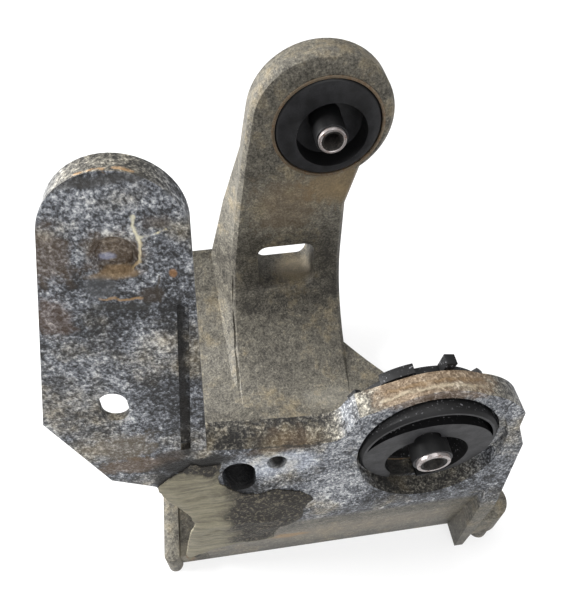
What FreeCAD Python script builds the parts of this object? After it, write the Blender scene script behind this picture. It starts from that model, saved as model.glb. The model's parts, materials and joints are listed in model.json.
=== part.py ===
import FreeCAD, Part
import math
import os

import Sketcher
from FreeCAD import Placement, Rotation, Vector

# Compressor mounting bracket: one sand-cast aluminium bracket with two rubber bushes.
# Millimetres. X runs along the front wall, Y along both bush axes away from the front, Z is up.
# The origin lies on the axis of the front bush, level with the front face of its rubber.

SIZES = [
    ("front_lean", 10.0, "degrees that the ear and the upper front face lean back"),
    ("front_stock", 9.0, "how far the web stands in front of the bush face"),
    ("ridge_drop", 34.0, "height of the ridge of the front face below the bush axis"),
    ("foot_setback", 3.0, "front face at the base, behind the bush face"),
    ("wall_back", 15.0, "back of the front wall"),
    ("wall_left", -98.5, "left end of the front wall"),
    ("wall_top_left", 18.7, "top of the low wall beside the ear"),
    ("wall_top_middle", 12.5, "top of the low wall at its lowest"),
    ("wall_dip_x", -53.0, "where the low wall is lowest"),
    ("wall_foot_right", 36.0, "right end of the front wall at the base"),
    ("wall_hip_right", 41.5, "right end of the front wall under the ring"),
    ("wall_hip_drop", 6.0, "how far that end lies below the bush axis"),
    ("web_left", 31.5, "left side of the right web"),
    ("ring_x", 1.0, "centre of the ring's outside"),
    ("ring_drop", 1.7, "centre of the ring's outside below the bush axis"),
    ("ring_radius", 35.4, "outside radius of the ring"),
    ("cheek_turn", 58.0, "degrees from level to where the ring's right cheek starts"),
    ("cheek_bend", 33.6, "radius of that cheek"),
    ("cheek_x", 37.6, "lower corner of the cheek"),
    ("cheek_z", 14.5, "the same corner above the bush axis"),
    ("cheek_notch_x", 37.2, "notch below the cheek"),
    ("cheek_notch_z", 6.0, "the same notch above the bush axis"),
    ("shoulder_turn", 20.0, "degrees from the ring's top to the start of its shoulder"),
    ("shoulder_run", 20.0, "length of the shoulder"),
    ("shoulder_step", 3.7, "sideways step of the shoulder's end"),
    ("shoulder_fall", 6.0, "fall of the shoulder's end"),
    ("shoulder_hollow", 7.0, "sideways run of the hollow below the shoulder"),
    ("shoulder_bend", 7.5, "radius of that hollow"),
    ("funnel_x", 1.8, "centre of the shallow funnel round the front bush"),
    ("funnel_drop", 1.4, "its centre below the bush axis"),
    ("funnel_radius", 31.2, "radius of the funnel"),
    ("funnel_floor", 3.0, "floor of the funnel behind the bush face"),
    ("recess_gap", 1.3, "free width round the rubber inside the ring"),
    ("floor_thickness", 9.5, "thickness of the floor and its upturned back"),
    ("base_drop", 106.5, "underside of the base below the bush axis"),
    ("floor_left", -120.5, "left edge of the floor"),
    ("cradle_y", 85.0, "where the floor starts to curve up"),
    ("cradle_radius", 92.0, "inner radius of the upturned floor"),
    ("rim_drop", 42.0, "top edge of the upturned floor below the bush axis"),
    ("rim_fall", 8.0, "how much that edge falls towards its back"),
    ("cut_front", 72.0, "front end of the diagonal cut of the floor"),
    ("cut_middle_x", 17.7, "a point on the diagonal cut"),
    ("cut_middle_y", 98.8, "the same point"),
    ("cut_back", 121.0, "back end of the diagonal cut"),
    ("floor_narrow", 16.0, "how much the floor's left edge draws in towards the back"),
    ("arm_front", 148.0, "front face of the arm"),
    ("arm_thickness", 18.0, "thickness of the arm"),
    ("seat_radius", 65.0, "radius of the hollow between floor and arm"),
    ("arm_right", -3.5, "right edge of the arm"),
    ("arm_left_foot", -75.0, "left edge of the arm at the floor"),
    ("arm_left_bend", 1190.0, "radius of the arm's bowed left edge"),
    ("arm_neck", 2.5, "height of the neck below the boss on the right"),
    ("boss_x", -19.0, "centre of the arm's round head"),
    ("boss_z", 56.0, "centre of the arm's round head"),
    ("boss_radius", 36.5, "radius of the arm's round head"),
    ("boss_left_turn", 9.7, "degrees to where the left edge leaves the head"),
    ("boss_right_turn", 53.5, "degrees to where the neck leaves the head"),
    ("arm_front_bevel", 2.2, "bevel of the arm's front edge"),
    ("arm_back_bevel", 5.2, "bevel of the arm's back edge"),
    ("flare_sink", 0.3, "how far the flare starts inside the arm's bevel"),
    ("flare_depth", 8.0, "how far the flare's root lies inside the arm"),
    ("flare_bite", 1.0, "how far the flare ends inside the floor or short of the arm's back"),
    ("slot_left", -54.0, "left end of the arm's slot"),
    ("slot_right", -20.0, "right end of the arm's slot"),
    ("slot_top", -24.5, "top of the arm's slot"),
    ("slot_bottom", -56.0, "bottom of the arm's slot"),
    ("slot_corner", 6.5, "corner radius of the slot"),
    ("ear_thickness", 10.0, "thickness of the ear"),
    ("crown_x", -101.9, "centre of the ear's crown"),
    ("crown_rise", 114.6, "centre of the crown, measured up the leaning face"),
    ("crown_radius", 20.1, "radius of the crown"),
    ("ear_slant", 15.0, "degrees that the ear's left edge slants"),
    ("ear_corner_x", -140.6, "lower left corner of the ear"),
    ("ear_corner_rise", 43.5, "the same corner up the leaning face"),
    ("ear_tip_x", -125.3, "lower end of the ear's chamfer"),
    ("ear_tip_rise", 7.0, "the same point up the leaning face"),
    ("ear_ledge_x", -110.0, "bottom edge of the ear beside its tip"),
    ("ear_ledge_fall", 8.0, "fall of that edge from the tip"),
    ("ear_root_bite", 8.0, "how far the ear's root runs into the wall"),
    ("ear_root_drop", 26.0, "where the ear's bottom edge runs into the wall"),
    ("ear_right_x", -88.0, "right edge of the ear at the low wall"),
    ("ear_hole_x", -116.0, "through hole of the ear"),
    ("ear_hole_rise", 48.0, "the same, up the leaning face"),
    ("ear_hole_radius", 4.8, "half the width of the slotted hole"),
    ("ear_hole_travel", 4.0, "straight part of the slotted hole's sides"),
    ("ear_web", 3.2, "thickness of the ear inside its rim"),
    ("ear_rim", 7.0, "width of the rim round the ear's hollow back"),
    ("ear_hollow_top", 92.0, "top of the hollow, measured up the leaning face"),
    ("dimple_x", -103.3, "rusty dimple of the ear"),
    ("dimple_rise", 108.8, "the same, up the leaning face"),
    ("dimple_radius", 6.8, "radius of the dimple"),
    ("dimple_depth", 3.0, "depth of the dimple"),
    ("dimple_slope", 35.0, "degrees that its side slopes"),
    ("groove_top_x", -87.4, "upper end of the groove beside the ear's rib"),
    ("groove_top_rise", 88.5, "the same, up the leaning face"),
    ("groove_low_x", -95.6, "lower end of the groove"),
    ("groove_low_rise", 20.0, "the same, up the leaning face"),
    ("groove_width", 3.6, "width of the groove"),
    ("groove_depth", 3.0, "depth of the groove"),
    ("tapped_x", -62.0, "small hole in the front wall"),
    ("tapped_rise", 4.3, "the same, up the leaning face"),
    ("tapped_radius", 4.0, "radius of the small hole"),
    ("tapped_depth", 11.0, "depth of the small hole"),
    ("core_x", -77.4, "oval core hole in the front wall"),
    ("core_drop", 2.0, "its centre, down the leaning face"),
    ("core_radius", 6.6, "half its width"),
    ("core_height", 5.0, "straight part of its sides"),
    ("core_depth", 12.0, "depth of the core hole"),
    ("lug_x", 47.0, "centre of the right lug"),
    ("lug_y", 4.0, "centre of the right lug"),
    ("lug_radius", 10.5, "radius of the lug"),
    ("lug_bite", 3.0, "how far the lug runs into the front wall"),
    ("lug_top_drop", 80.0, "top of the lug below the bush axis"),
    ("lug_bottom_drop", 99.0, "underside of the lug below the bush axis"),
    ("spigot_x", 46.5, "round foot under the lug"),
    ("spigot_y", -2.0, "round foot under the lug"),
    ("spigot_radius", 4.8, "radius of that foot"),
    ("rail_width", 7.5, "width of the low rail on the floor's left edge"),
    ("rail_height", 16.0, "height of that rail above the underside"),
    ("rail_front", -1.0, "front end of the rail"),
    ("rail_back", 52.0, "back end of the rail"),
    ("bush_radius", 28.5, "outside radius of both bushes"),
    ("shell_wall", 1.5, "wall of the bushes' steel shells"),
    ("shell_front", 9.0, "front end of the front shell and floor of the recess round it"),
    ("shell_back", 15.5, "back end of the front shell"),
    ("rear_bush_x", -15.7, "axis of the rear bush"),
    ("rear_bush_z", 52.7, "axis of the rear bush"),
    ("rear_proud", 0.4, "how far the rear shell stands in front of the arm"),
    ("sleeve_radius", 7.0, "outside radius of the steel sleeves"),
    ("sleeve_bore", 4.3, "inside radius of the steel sleeves"),
    ("sleeve_length", 40.0, "length of the steel sleeves"),
    ("front_sleeve_proud", 7.0, "front sleeve in front of its rubber face"),
    ("rear_sleeve_proud", 10.0, "rear sleeve in front of its rubber face"),
    ("post_radius", 8.1, "rubber round the sleeve"),
    ("post_short", 1.6, "how much the rubber round the sleeve stops short of its end"),
    ("face_inner", 20.0, "inside radius of the rubber's front face"),
    ("face_round", 1.2, "bevel round the rubber's front face"),
    ("diaphragm_front", 12.0, "front of the rubber between rim and post"),
    ("diaphragm_thickness", 5.0, "thickness of that rubber"),
    ("collar_radius", 29.2, "rubber collar behind the ring"),
    ("collar_back", 20.5, "back end of the collar"),
    ("tooth_front", 16.5, "front of the collar's raised parts"),
    ("tooth_back", 21.0, "back of the collar's raised parts"),
    ("front_mouth_x", 0.5, "centre of the opening in the front rubber's face"),
    ("front_mouth_drop", 8.5, "the same centre below the bush axis"),
    ("front_mouth_radius", 17.5, "radius of that opening"),
    ("rear_mouth_x", 2.0, "centre of the opening in the rear rubber's face"),
    ("rear_mouth_drop", 4.0, "the same centre below the bush axis"),
    ("rear_mouth_radius", 18.0, "radius of that opening"),
    ("lobe_x", -2.0, "centre of the round lobe above the front opening"),
    ("lobe_rise", 8.5, "the same centre above the bush axis"),
    ("lobe_radius", 5.5, "radius of the lobe"),
    ("gap_left", -13.5, "left side of the gap in the front rubber's lower edge"),
    ("gap_right", -0.5, "right side of that gap"),
    ("gap_top", -18.0, "top of that gap"),
    ("overlap", 2.0, "how far a form starts or ends inside or outside its neighbour"),
    ("far_out", 250.0, "past every side of the bracket"),
]


def cell(name):
    """Name a size of the sheet as an expression."""
    return f"Sizes.{name}"


def make_sheet(doc):
    """Write every driving size into the sheet, one named cell each."""
    sheet = doc.addObject("Spreadsheet::Sheet", "Sizes")
    for row, (name, value, note) in enumerate(SIZES, start=1):
        sheet.set(f"A{row}", note)
        sheet.set(f"B{row}", str(value))
        sheet.setAlias(f"B{row}", name)
    doc.recompute()
    return sheet


def number(sketch, expression):
    """Work out an expression of the sheet as a plain number."""
    result = sketch.evalExpression(expression)
    return float(getattr(result, "Value", result))


def sketch_on(body, name, role, shift="0", turn="0"):
    """Attach a sketch to an origin plane, turned about its own X and moved along its normal."""
    plane = next(part for part in body.Origin.OriginFeatures if part.Role == role)
    sketch = body.newObject("Sketcher::SketchObject", name)
    sketch.AttachmentSupport = [(plane, "")]
    sketch.MapMode = "FlatFace"
    angle = number(sketch, turn)
    sketch.AttachmentOffset = Placement(Vector(0, 0, 0), Rotation(Vector(1, 0, 0), angle))
    if turn == "0":
        sketch.setExpression("AttachmentOffset.Base.z", shift)
        return sketch
    sketch.setExpression("AttachmentOffset.Base.y", f"-({shift}) * sin(({turn}) * 1 deg)")
    sketch.setExpression("AttachmentOffset.Base.z", f"({shift}) * cos(({turn}) * 1 deg)")
    sketch.setExpression("AttachmentOffset.Rotation.Angle", f"({turn}) * 1 deg")
    return sketch


def bend(radius, left=True, long_way=False):
    """Describe a round edge: its radius, whether it turns left, and whether it goes the long way."""
    return {"radius": radius, "left": left, "long_way": long_way}


def half_turn(left=True):
    """Describe a round edge that is half a circle between its two corners."""
    return {"radius": None, "left": left, "long_way": False}


def arc_between(start, end, radius, left, long_way):
    """Make the arc of a given radius from start to end, kept counter-clockwise."""
    chord = end - start
    half = chord.Length / 2
    reach = math.sqrt(max(radius * radius - half * half, 0.0))
    side = Vector(-chord.y, chord.x, 0).normalize()
    if left == long_way:
        side = side.negative()
    centre = (start + end) * 0.5 + side * reach
    first = math.atan2(start.y - centre.y, start.x - centre.x)
    last = math.atan2(end.y - centre.y, end.x - centre.x)
    if not left:
        first, last = last, first
    if last < first:
        last += 2 * math.pi
    return Part.ArcOfCircle(Part.Circle(centre, Vector(0, 0, 1), radius), first, last)


def bind(sketch, constraint, expression, name):
    """Add a constraint and tie it to the sheet."""
    index = sketch.addConstraint(constraint)
    sketch.renameConstraint(index, name)
    sketch.setExpression(f"Constraints.{name}", expression)


def bind_bend(sketch, edge, form, corner, following, name):
    """Tie a round edge to its radius, or a half circle to the middle between its corners."""
    if form["radius"] is not None:
        radius = number(sketch, form["radius"])
        bind(sketch, Sketcher.Constraint("Radius", edge, radius), form["radius"], name)
        return
    centre = sketch.Geometry[edge].Center
    across = abs(number(sketch, corner[0]) - number(sketch, following[0]))
    upward = abs(number(sketch, corner[1]) - number(sketch, following[1]))
    if upward > across:
        middle = f"({corner[0]} + {following[0]}) / 2"
        bind(sketch, Sketcher.Constraint("DistanceX", -1, 1, edge, 3, centre.x), middle, name)
    else:
        middle = f"({corner[1]} + {following[1]}) / 2"
        bind(sketch, Sketcher.Constraint("DistanceY", -1, 1, edge, 3, centre.y), middle, name)


def outline(sketch, corners, label="edge"):
    """Draw a closed outline through corners, each (x, y) or (x, y, bend to the next corner)."""
    points = [Vector(number(sketch, c[0]), number(sketch, c[1]), 0) for c in corners]
    edges = []
    for index, corner in enumerate(corners):
        start, end = points[index], points[(index + 1) % len(points)]
        if len(corner) > 2:
            form = corner[2]
            radius = (end - start).Length / 2
            if form["radius"] is not None:
                radius = number(sketch, form["radius"])
            geometry = arc_between(start, end, radius, form["left"], form["long_way"])
            heads = (1, 2) if form["left"] else (2, 1)
        else:
            geometry = Part.LineSegment(start, end)
            heads = (1, 2)
        edges.append((sketch.addGeometry(geometry, False), *heads))
    for index, corner in enumerate(corners):
        edge, here, _ = edges[index]
        before, _, there = edges[index - 1]
        sketch.addConstraint(Sketcher.Constraint("Coincident", before, there, edge, here))
        across = Sketcher.Constraint("DistanceX", -1, 1, edge, here, points[index].x)
        upward = Sketcher.Constraint("DistanceY", -1, 1, edge, here, points[index].y)
        bind(sketch, across, corner[0], f"{label}_x{index}")
        bind(sketch, upward, corner[1], f"{label}_y{index}")
        if len(corner) > 2:
            following = corners[(index + 1) % len(corners)]
            bind_bend(sketch, edge, corner[2], corner, following, f"{label}_r{index}")


def circle(sketch, x, y, radius, label="hole"):
    """Draw a circle whose centre and radius come from the sheet."""
    centre = Vector(number(sketch, x), number(sketch, y), 0)
    size = number(sketch, radius)
    edge = sketch.addGeometry(Part.Circle(centre, Vector(0, 0, 1), size), False)
    bind(sketch, Sketcher.Constraint("DistanceX", -1, 1, edge, 3, centre.x), x, f"{label}_x")
    bind(sketch, Sketcher.Constraint("DistanceY", -1, 1, edge, 3, centre.y), y, f"{label}_y")
    bind(sketch, Sketcher.Constraint("Radius", edge, size), radius, f"{label}_r")


def box_corners(left, bottom, right, top):
    """List the four corners of an upright rectangle."""
    return [(left, bottom), (right, bottom), (right, top), (left, top)]


def rounded_corners(left, bottom, right, top, radius):
    """List the corners of a rectangle whose corners are round."""
    turn = bend(radius)
    return [
        (f"{left} + {radius}", bottom),
        (f"{right} - {radius}", bottom, turn),
        (right, f"{bottom} + {radius}"),
        (right, f"{top} - {radius}", turn),
        (f"{right} - {radius}", top),
        (f"{left} + {radius}", top, turn),
        (left, f"{top} - {radius}"),
        (left, f"{bottom} + {radius}", turn),
    ]


def pad(body, sketch, length, reverse=False):
    """Pad a sketch by a length of the sheet."""
    feature = body.newObject("PartDesign::Pad", f"{sketch.Name}_pad")
    feature.Profile = sketch
    feature.setExpression("Length", length)
    feature.Reversed = reverse
    return feature


def pocket(body, sketch, length=None, reverse=False, both=False):
    """Cut a sketch into the body, by a length or right through."""
    feature = body.newObject("PartDesign::Pocket", f"{sketch.Name}_cut")
    feature.Profile = sketch
    if length is None:
        feature.Type = "ThroughAll"
    else:
        feature.setExpression("Length", length)
    feature.Reversed = reverse
    if both:
        feature.SideType = "Symmetric"
    return feature


def bevel_edges(body, name, size, chosen):
    """Bevel the edges of the body so far that pass a test."""
    base = body.Tip
    names = [f"Edge{i}" for i, edge in enumerate(base.Shape.Edges, start=1) if chosen(edge)]
    feature = body.newObject("PartDesign::Chamfer", name)
    feature.Base = (base, names)
    feature.setExpression("Size", size)
    return feature


LEAN = f"tan({cell('front_lean')} * 1 deg)"
BASE = f"-{cell('base_drop')}"
FLOOR = f"({cell('floor_thickness')} - {cell('base_drop')})"
CRADLE_Z = f"({FLOOR} + {cell('cradle_radius')})"
SEAT_Z = f"({FLOOR} + {cell('seat_radius')})"
SEAT_Y = f"({cell('arm_front')} - {cell('seat_radius')})"
ARM_BACK = f"({cell('arm_front')} + {cell('arm_thickness')})"
ROOT = f"({cell('cradle_radius')} + {cell('floor_thickness')} / 2)"
SEAT_START = f"(min({SEAT_Y}; {cell('cradle_y')}) - {cell('overlap')})"
FAR = cell("far_out")


def on_circle(centre_x, centre_y, radius, degrees):
    """Give a point on a circle at an angle in degrees, as two expressions."""
    across = f"{centre_x} + {radius} * cos({degrees} * 1 deg)"
    upward = f"{centre_y} + {radius} * sin({degrees} * 1 deg)"
    return across, upward


def root_height(y):
    """Give the height of the floor's middle surface where it curves up, at a place along Y."""
    run = f"({y} - {cell('cradle_y')})"
    return f"({CRADLE_Z} - sqrt({ROOT} * {ROOT} - {run} * {run}))"


def on_outline(edge, face):
    """Say whether an edge lies on the outline of the arm's front or back face."""
    heights = [vertex.Point.z for vertex in edge.Vertexes]
    level = max(heights) - min(heights) < 0.01
    return all(abs(v.Point.y - face) < 0.01 for v in edge.Vertexes) and max(heights) > 0 and not level


def add_arm(body):
    """Raise the back arm: a hollow seat on the floor and a drafted plate with a round head."""
    front = cell("arm_front")
    seat = sketch_on(body, "arm_seat", "YZ_Plane", cell("arm_left_foot"))
    outline(seat, [
        (front, SEAT_Z, bend(cell("seat_radius"), left=False)),
        (SEAT_Y, FLOOR),
        (SEAT_START, FLOOR),
        (SEAT_START, f"{CRADLE_Z} - {ROOT}"),
        (cell("cradle_y"), f"{CRADLE_Z} - {ROOT}", bend(ROOT)),
        (front, root_height(front)),
    ])
    pad(body, seat, f"{cell('arm_right')} - {cell('arm_left_foot')}")
    head_x, head_z, head = cell("boss_x"), cell("boss_z"), cell("boss_radius")
    left_edge = on_circle(head_x, head_z, head, f"(180 - {cell('boss_left_turn')})")
    neck = on_circle(head_x, head_z, head, f"(-{cell('boss_right_turn')})")
    plate = sketch_on(body, "arm_plate", "XZ_Plane", f"-{front}")
    outline(plate, [
        (*left_edge, bend(cell("arm_left_bend"))),
        (cell("arm_left_foot"), BASE),
        (cell("arm_right"), BASE),
        (cell("arm_right"), cell("arm_neck")),
        (*neck, bend(head, long_way=True)),
    ])
    pad(body, plate, cell("arm_thickness"), reverse=True)
    side = sketch_on(body, "arm_side", "XZ_Plane", f"-{front}")
    outline(side, [
        (f"-{FAR}", left_edge[1]),
        (f"-{FAR}", BASE),
        (cell("arm_left_foot"), BASE, bend(cell("arm_left_bend"), left=False)),
        (*left_edge,),
    ])
    pocket(body, side, f"{front} - {SEAT_START} + {cell('overlap')}", reverse=True)
    under = sketch_on(body, "arm_under", "YZ_Plane")
    beyond = f"({ARM_BACK} + {cell('overlap')})"
    outline(under, [
        (front, root_height(front)),
        (front, f"-{FAR}"),
        (beyond, f"-{FAR}"),
        (beyond, root_height(beyond), bend(ROOT, left=False)),
    ])
    pocket(body, under, both=True)
    for name, place in (("arm_front_bevel", front), ("arm_back_bevel", ARM_BACK)):
        body.Document.recompute()
        face = body.evalExpression(place)
        bevel_edges(body, name, cell(name), lambda edge: on_outline(edge, face))


def add_floor(body):
    """Lay the floor, curved up at its back, and cut its plan outline."""
    inner, outer = cell("cradle_radius"), f"({cell('cradle_radius')} + {cell('floor_thickness')})"
    rise = f"({CRADLE_Z} + {cell('rim_drop')})"
    fallen = f"({rise} + {cell('rim_fall')})"
    side = sketch_on(body, "floor_side", "YZ_Plane", cell("floor_left"))
    outline(side, [
        (cell("foot_setback"), BASE),
        (cell("cradle_y"), BASE, bend(outer)),
        (f"{cell('cradle_y')} + sqrt({outer} * {outer} - {fallen} * {fallen})",
         f"-{cell('rim_drop')} - {cell('rim_fall')}"),
        (f"{cell('cradle_y')} + sqrt({inner} * {inner} - {rise} * {rise})", f"-{cell('rim_drop')}",
         bend(inner, left=False)),
        (cell("cradle_y"), FLOOR),
        (cell("foot_setback"), FLOOR),
    ])
    pad(body, side, f"{cell('wall_foot_right')} - {cell('floor_left')}")
    plan = sketch_on(body, "floor_plan", "XY_Plane", f"{cell('overlap')} - {cell('rim_drop')}")
    outline(plan, [
        (cell("arm_right"), FAR),
        (cell("arm_right"), cell("cut_back")),
        (cell("cut_middle_x"), cell("cut_middle_y")),
        (f"{cell('wall_foot_right')} + {cell('overlap')}", cell("cut_front")),
        (FAR, cell("cut_front")),
        (FAR, FAR),
    ], "right")
    outline(plan, [
        (f"-{FAR}", cell("rail_back")),
        (f"{cell('floor_left')}", cell("rail_back")),
        (f"{cell('floor_left')} + {cell('floor_narrow')}", FAR),
        (f"-{FAR}", FAR),
    ], "left")
    pocket(body, plan, cell("base_drop"))


FLARE = [
    ("flare_1", 52.0, -56.6, -53.6),
    ("flare_2", 0.0, -65.5, -70.7),
    ("flare_3", -41.5, -70.2, -81.5),
    ("flare_4", -66.0, -72.4, -80.8),
    ("flare_5", -86.0, -74.0, -79.2),
    ("flare_6", -95.5, -74.8, -77.4),
]


def add_flare(body):
    """Widen the arm's left side towards its back with a lofted web."""
    stations = []
    for name, _, _, _ in FLARE:
        level = cell(f"{name}_z")
        front = f"({SEAT_Y} + sqrt({cell('seat_radius')} ^ 2 - min(0; {level} - {SEAT_Z}) ^ 2))"
        back = f"({cell('cradle_y')} + sqrt({cell('cradle_radius')} ^ 2 - min(0; {level} - {CRADLE_Z}) ^ 2))"
        reach = f"min({back} + {cell('flare_bite')}; {ARM_BACK} - {cell('flare_bite')})"
        station = sketch_on(body, f"{name}_section", "XY_Plane", level)
        outline(station, [
            (f"{cell(f'{name}_front')} + {cell('flare_sink')}",
             f"{front} + {cell('arm_front_bevel')} + {cell('flare_sink')}"),
            (f"{cell(f'{name}_front')} + {cell('flare_depth')}", reach),
            (cell(f"{name}_back"), reach),
        ])
        stations.append(station)
    loft = body.newObject("PartDesign::AdditiveLoft", "arm_flare")
    loft.Profile = stations[0]
    loft.Sections = stations[1:]
    loft.Ruled = True


def add_front_wall(body):
    """Pad the front wall with its ring, then give its face the lean, the ridge and the web."""
    ring_x, ring_z, ring = cell("ring_x"), f"(-{cell('ring_drop')})", cell("ring_radius")
    top_x, top_z = on_circle(ring_x, ring_z, ring, f"(90 + {cell('shoulder_turn')})")
    run_x = f"({top_x} - {cell('shoulder_run')} * cos({cell('shoulder_turn')} * 1 deg))"
    run_z = f"({top_z} - {cell('shoulder_run')} * sin({cell('shoulder_turn')} * 1 deg))"
    end_x = f"({run_x} - {cell('shoulder_step')})"
    end_z = f"({run_z} - {cell('shoulder_fall')})"
    cheek = on_circle(ring_x, ring_z, ring, cell("cheek_turn"))
    face = sketch_on(body, "front_wall", "XZ_Plane", cell("front_stock"))
    outline(face, [
        (cell("wall_left"), BASE),
        (cell("wall_foot_right"), BASE),
        (cell("wall_hip_right"), f"-{cell('wall_hip_drop')}"),
        (cell("cheek_notch_x"), cell("cheek_notch_z")),
        (cell("cheek_x"), cell("cheek_z"), bend(cell("cheek_bend"))),
        (*cheek, bend(ring)),
        (top_x, top_z),
        (run_x, run_z),
        (end_x, end_z, bend(cell("shoulder_bend"), left=False)),
        (f"{end_x} - {cell('shoulder_hollow')}", cell("wall_top_middle")),
        (cell("wall_dip_x"), cell("wall_top_middle")),
        (cell("wall_left"), cell("wall_top_left")),
    ])
    pad(body, face, f"{cell('front_stock')} + {cell('wall_back')}", reverse=True)
    lean = sketch_on(body, "front_lean_cut", "YZ_Plane")
    outline(lean, [
        (f"{FAR} * {LEAN}", FAR),
        (f"-{FAR}", FAR),
        (f"-{FAR}", f"-{FAR}"),
        (f"-{FAR} * {LEAN}", f"-{FAR}"),
    ])
    pocket(body, lean, both=True)
    under = sketch_on(body, "front_under_cut", "YZ_Plane", cell("web_left"))
    outline(under, [
        (f"-{cell('ridge_drop')} * {LEAN}", f"-{cell('ridge_drop')}"),
        (f"-{FAR}", f"-{cell('ridge_drop')}"),
        (f"-{FAR}", f"{BASE} - {cell('overlap')}"),
        (cell("foot_setback"), f"{BASE} - {cell('overlap')}"),
        (cell("foot_setback"), BASE),
    ])
    pocket(body, under)


def add_ear(body):
    """Stand the ear on the leaning face, with its groove, dimple and holes."""
    lean = f"-{cell('front_lean')}"
    crown_x, crown_z, crown = cell("crown_x"), cell("crown_rise"), cell("crown_radius")
    left = on_circle(crown_x, crown_z, crown, f"(180 - {cell('ear_slant')})")
    face = sketch_on(body, "ear", "XZ_Plane", turn=lean)
    outline(face, [
        (*left,),
        (cell("ear_corner_x"), cell("ear_corner_rise")),
        (cell("ear_tip_x"), cell("ear_tip_rise")),
        (cell("ear_ledge_x"), f"{cell('ear_tip_rise')} - {cell('ear_ledge_fall')}"),
        (cell("wall_left"), f"-{cell('ear_root_drop')}"),
        (f"{cell('wall_left')} + {cell('ear_root_bite')}", f"-{cell('ear_root_drop')}"),
        (cell("ear_right_x"), cell("wall_top_left")),
        (f"{crown_x} + {crown}", crown_z, bend(crown)),
    ])
    pad(body, face, cell("ear_thickness"), reverse=True)
    groove = sketch_on(body, "ear_groove", "XZ_Plane", turn=lean)
    half = f"{cell('groove_width')} / 2"
    outline(groove, [
        (f"{cell('groove_low_x')} - {half}", cell("groove_low_rise")),
        (f"{cell('groove_low_x')} + {half}", cell("groove_low_rise")),
        (f"{cell('groove_top_x')} + {half}", cell("groove_top_rise"), half_turn()),
        (f"{cell('groove_top_x')} - {half}", cell("groove_top_rise")),
    ])
    pocket(body, groove, cell("groove_depth"))
    dimple = sketch_on(body, "ear_dimple", "XZ_Plane", turn=lean)
    circle(dimple, cell("dimple_x"), cell("dimple_rise"), cell("dimple_radius"))
    dish = pocket(body, dimple, cell("dimple_depth"))
    dish.setExpression("TaperAngle", f"-{cell('dimple_slope')} * 1 deg")
    behind = f"({cell('ear_thickness')} + {cell('overlap')})"
    hollow = sketch_on(body, "ear_hollow", "XZ_Plane", f"-{behind}", turn=lean)
    rim = cell("ear_rim")
    slant_run = f"({cell('ear_hollow_top')} - {cell('ear_corner_rise')}) * tan({cell('ear_slant')} * 1 deg)"
    outline(hollow, [
        (f"{cell('ear_corner_x')} + {rim} + {slant_run}", cell("ear_hollow_top")),
        (f"{cell('ear_corner_x')} + {rim}", cell("ear_corner_rise")),
        (f"{cell('ear_tip_x')} + {rim} / 2", f"{cell('ear_tip_rise')} + {rim}"),
        (f"{cell('wall_left')} - {rim}", f"{cell('ear_tip_rise')} + {rim}"),
        (f"{cell('crown_x')} + {cell('crown_radius')} - {rim} * 1.7", cell("ear_hollow_top")),
    ])
    pocket(body, hollow, f"{behind} - {cell('ear_web')}", reverse=True)
    hole = sketch_on(body, "ear_hole", "XZ_Plane", cell("overlap"), turn=lean)
    hole_low = f"({cell('ear_hole_rise')} - {cell('ear_hole_travel')} / 2)"
    hole_high = f"({cell('ear_hole_rise')} + {cell('ear_hole_travel')} / 2)"
    outline(hole, [
        (f"{cell('ear_hole_x')} - {cell('ear_hole_radius')}", hole_low, half_turn()),
        (f"{cell('ear_hole_x')} + {cell('ear_hole_radius')}", hole_low),
        (f"{cell('ear_hole_x')} + {cell('ear_hole_radius')}", hole_high, half_turn()),
        (f"{cell('ear_hole_x')} - {cell('ear_hole_radius')}", hole_high),
    ])
    pocket(body, hole, f"{cell('overlap')} + {cell('ear_thickness')} * 2")
    tapped = sketch_on(body, "wall_hole", "XZ_Plane", turn=lean)
    circle(tapped, cell("tapped_x"), cell("tapped_rise"), cell("tapped_radius"))
    pocket(body, tapped, cell("tapped_depth"))
    core = sketch_on(body, "wall_core", "XZ_Plane", turn=lean)
    low = f"(-{cell('core_drop')} - {cell('core_height')} / 2)"
    high = f"(-{cell('core_drop')} + {cell('core_height')} / 2)"
    outline(core, [
        (f"{cell('core_x')} - {cell('core_radius')}", low, half_turn()),
        (f"{cell('core_x')} + {cell('core_radius')}", low),
        (f"{cell('core_x')} + {cell('core_radius')}", high, half_turn()),
        (f"{cell('core_x')} - {cell('core_radius')}", high),
    ])
    pocket(body, core, cell("core_depth"))


def add_feet(body):
    """Add the lug with its round foot on the right and the rail on the left."""
    lug = sketch_on(body, "lug", "XY_Plane", f"-{cell('lug_bottom_drop')}")
    outline(lug, [
        (f"{cell('wall_foot_right')} - {cell('lug_bite')}", f"{cell('lug_y')} - {cell('lug_radius')}"),
        (cell("lug_x"), f"{cell('lug_y')} - {cell('lug_radius')}", half_turn()),
        (cell("lug_x"), f"{cell('lug_y')} + {cell('lug_radius')}"),
        (f"{cell('wall_foot_right')} - {cell('lug_bite')}", f"{cell('lug_y')} + {cell('lug_radius')}"),
    ])
    pad(body, lug, f"{cell('lug_bottom_drop')} - {cell('lug_top_drop')}")
    foot = sketch_on(body, "lug_foot", "XY_Plane", BASE)
    circle(foot, cell("spigot_x"), cell("spigot_y"), cell("spigot_radius"))
    pad(body, foot, f"{cell('base_drop')} - {cell('lug_bottom_drop')} + {cell('overlap')}")
    rail = sketch_on(body, "floor_rail", "XY_Plane", BASE)
    half = f"{cell('rail_width')} / 2"
    outline(rail, [
        (cell("floor_left"), cell("rail_back")),
        (cell("floor_left"), f"{cell('rail_front')} + {half}", half_turn()),
        (f"{cell('floor_left')} + {cell('rail_width')}", f"{cell('rail_front')} + {half}"),
        (f"{cell('floor_left')} + {cell('rail_width')}", cell("rail_back")),
    ])
    pad(body, rail, cell("rail_height"))


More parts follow.
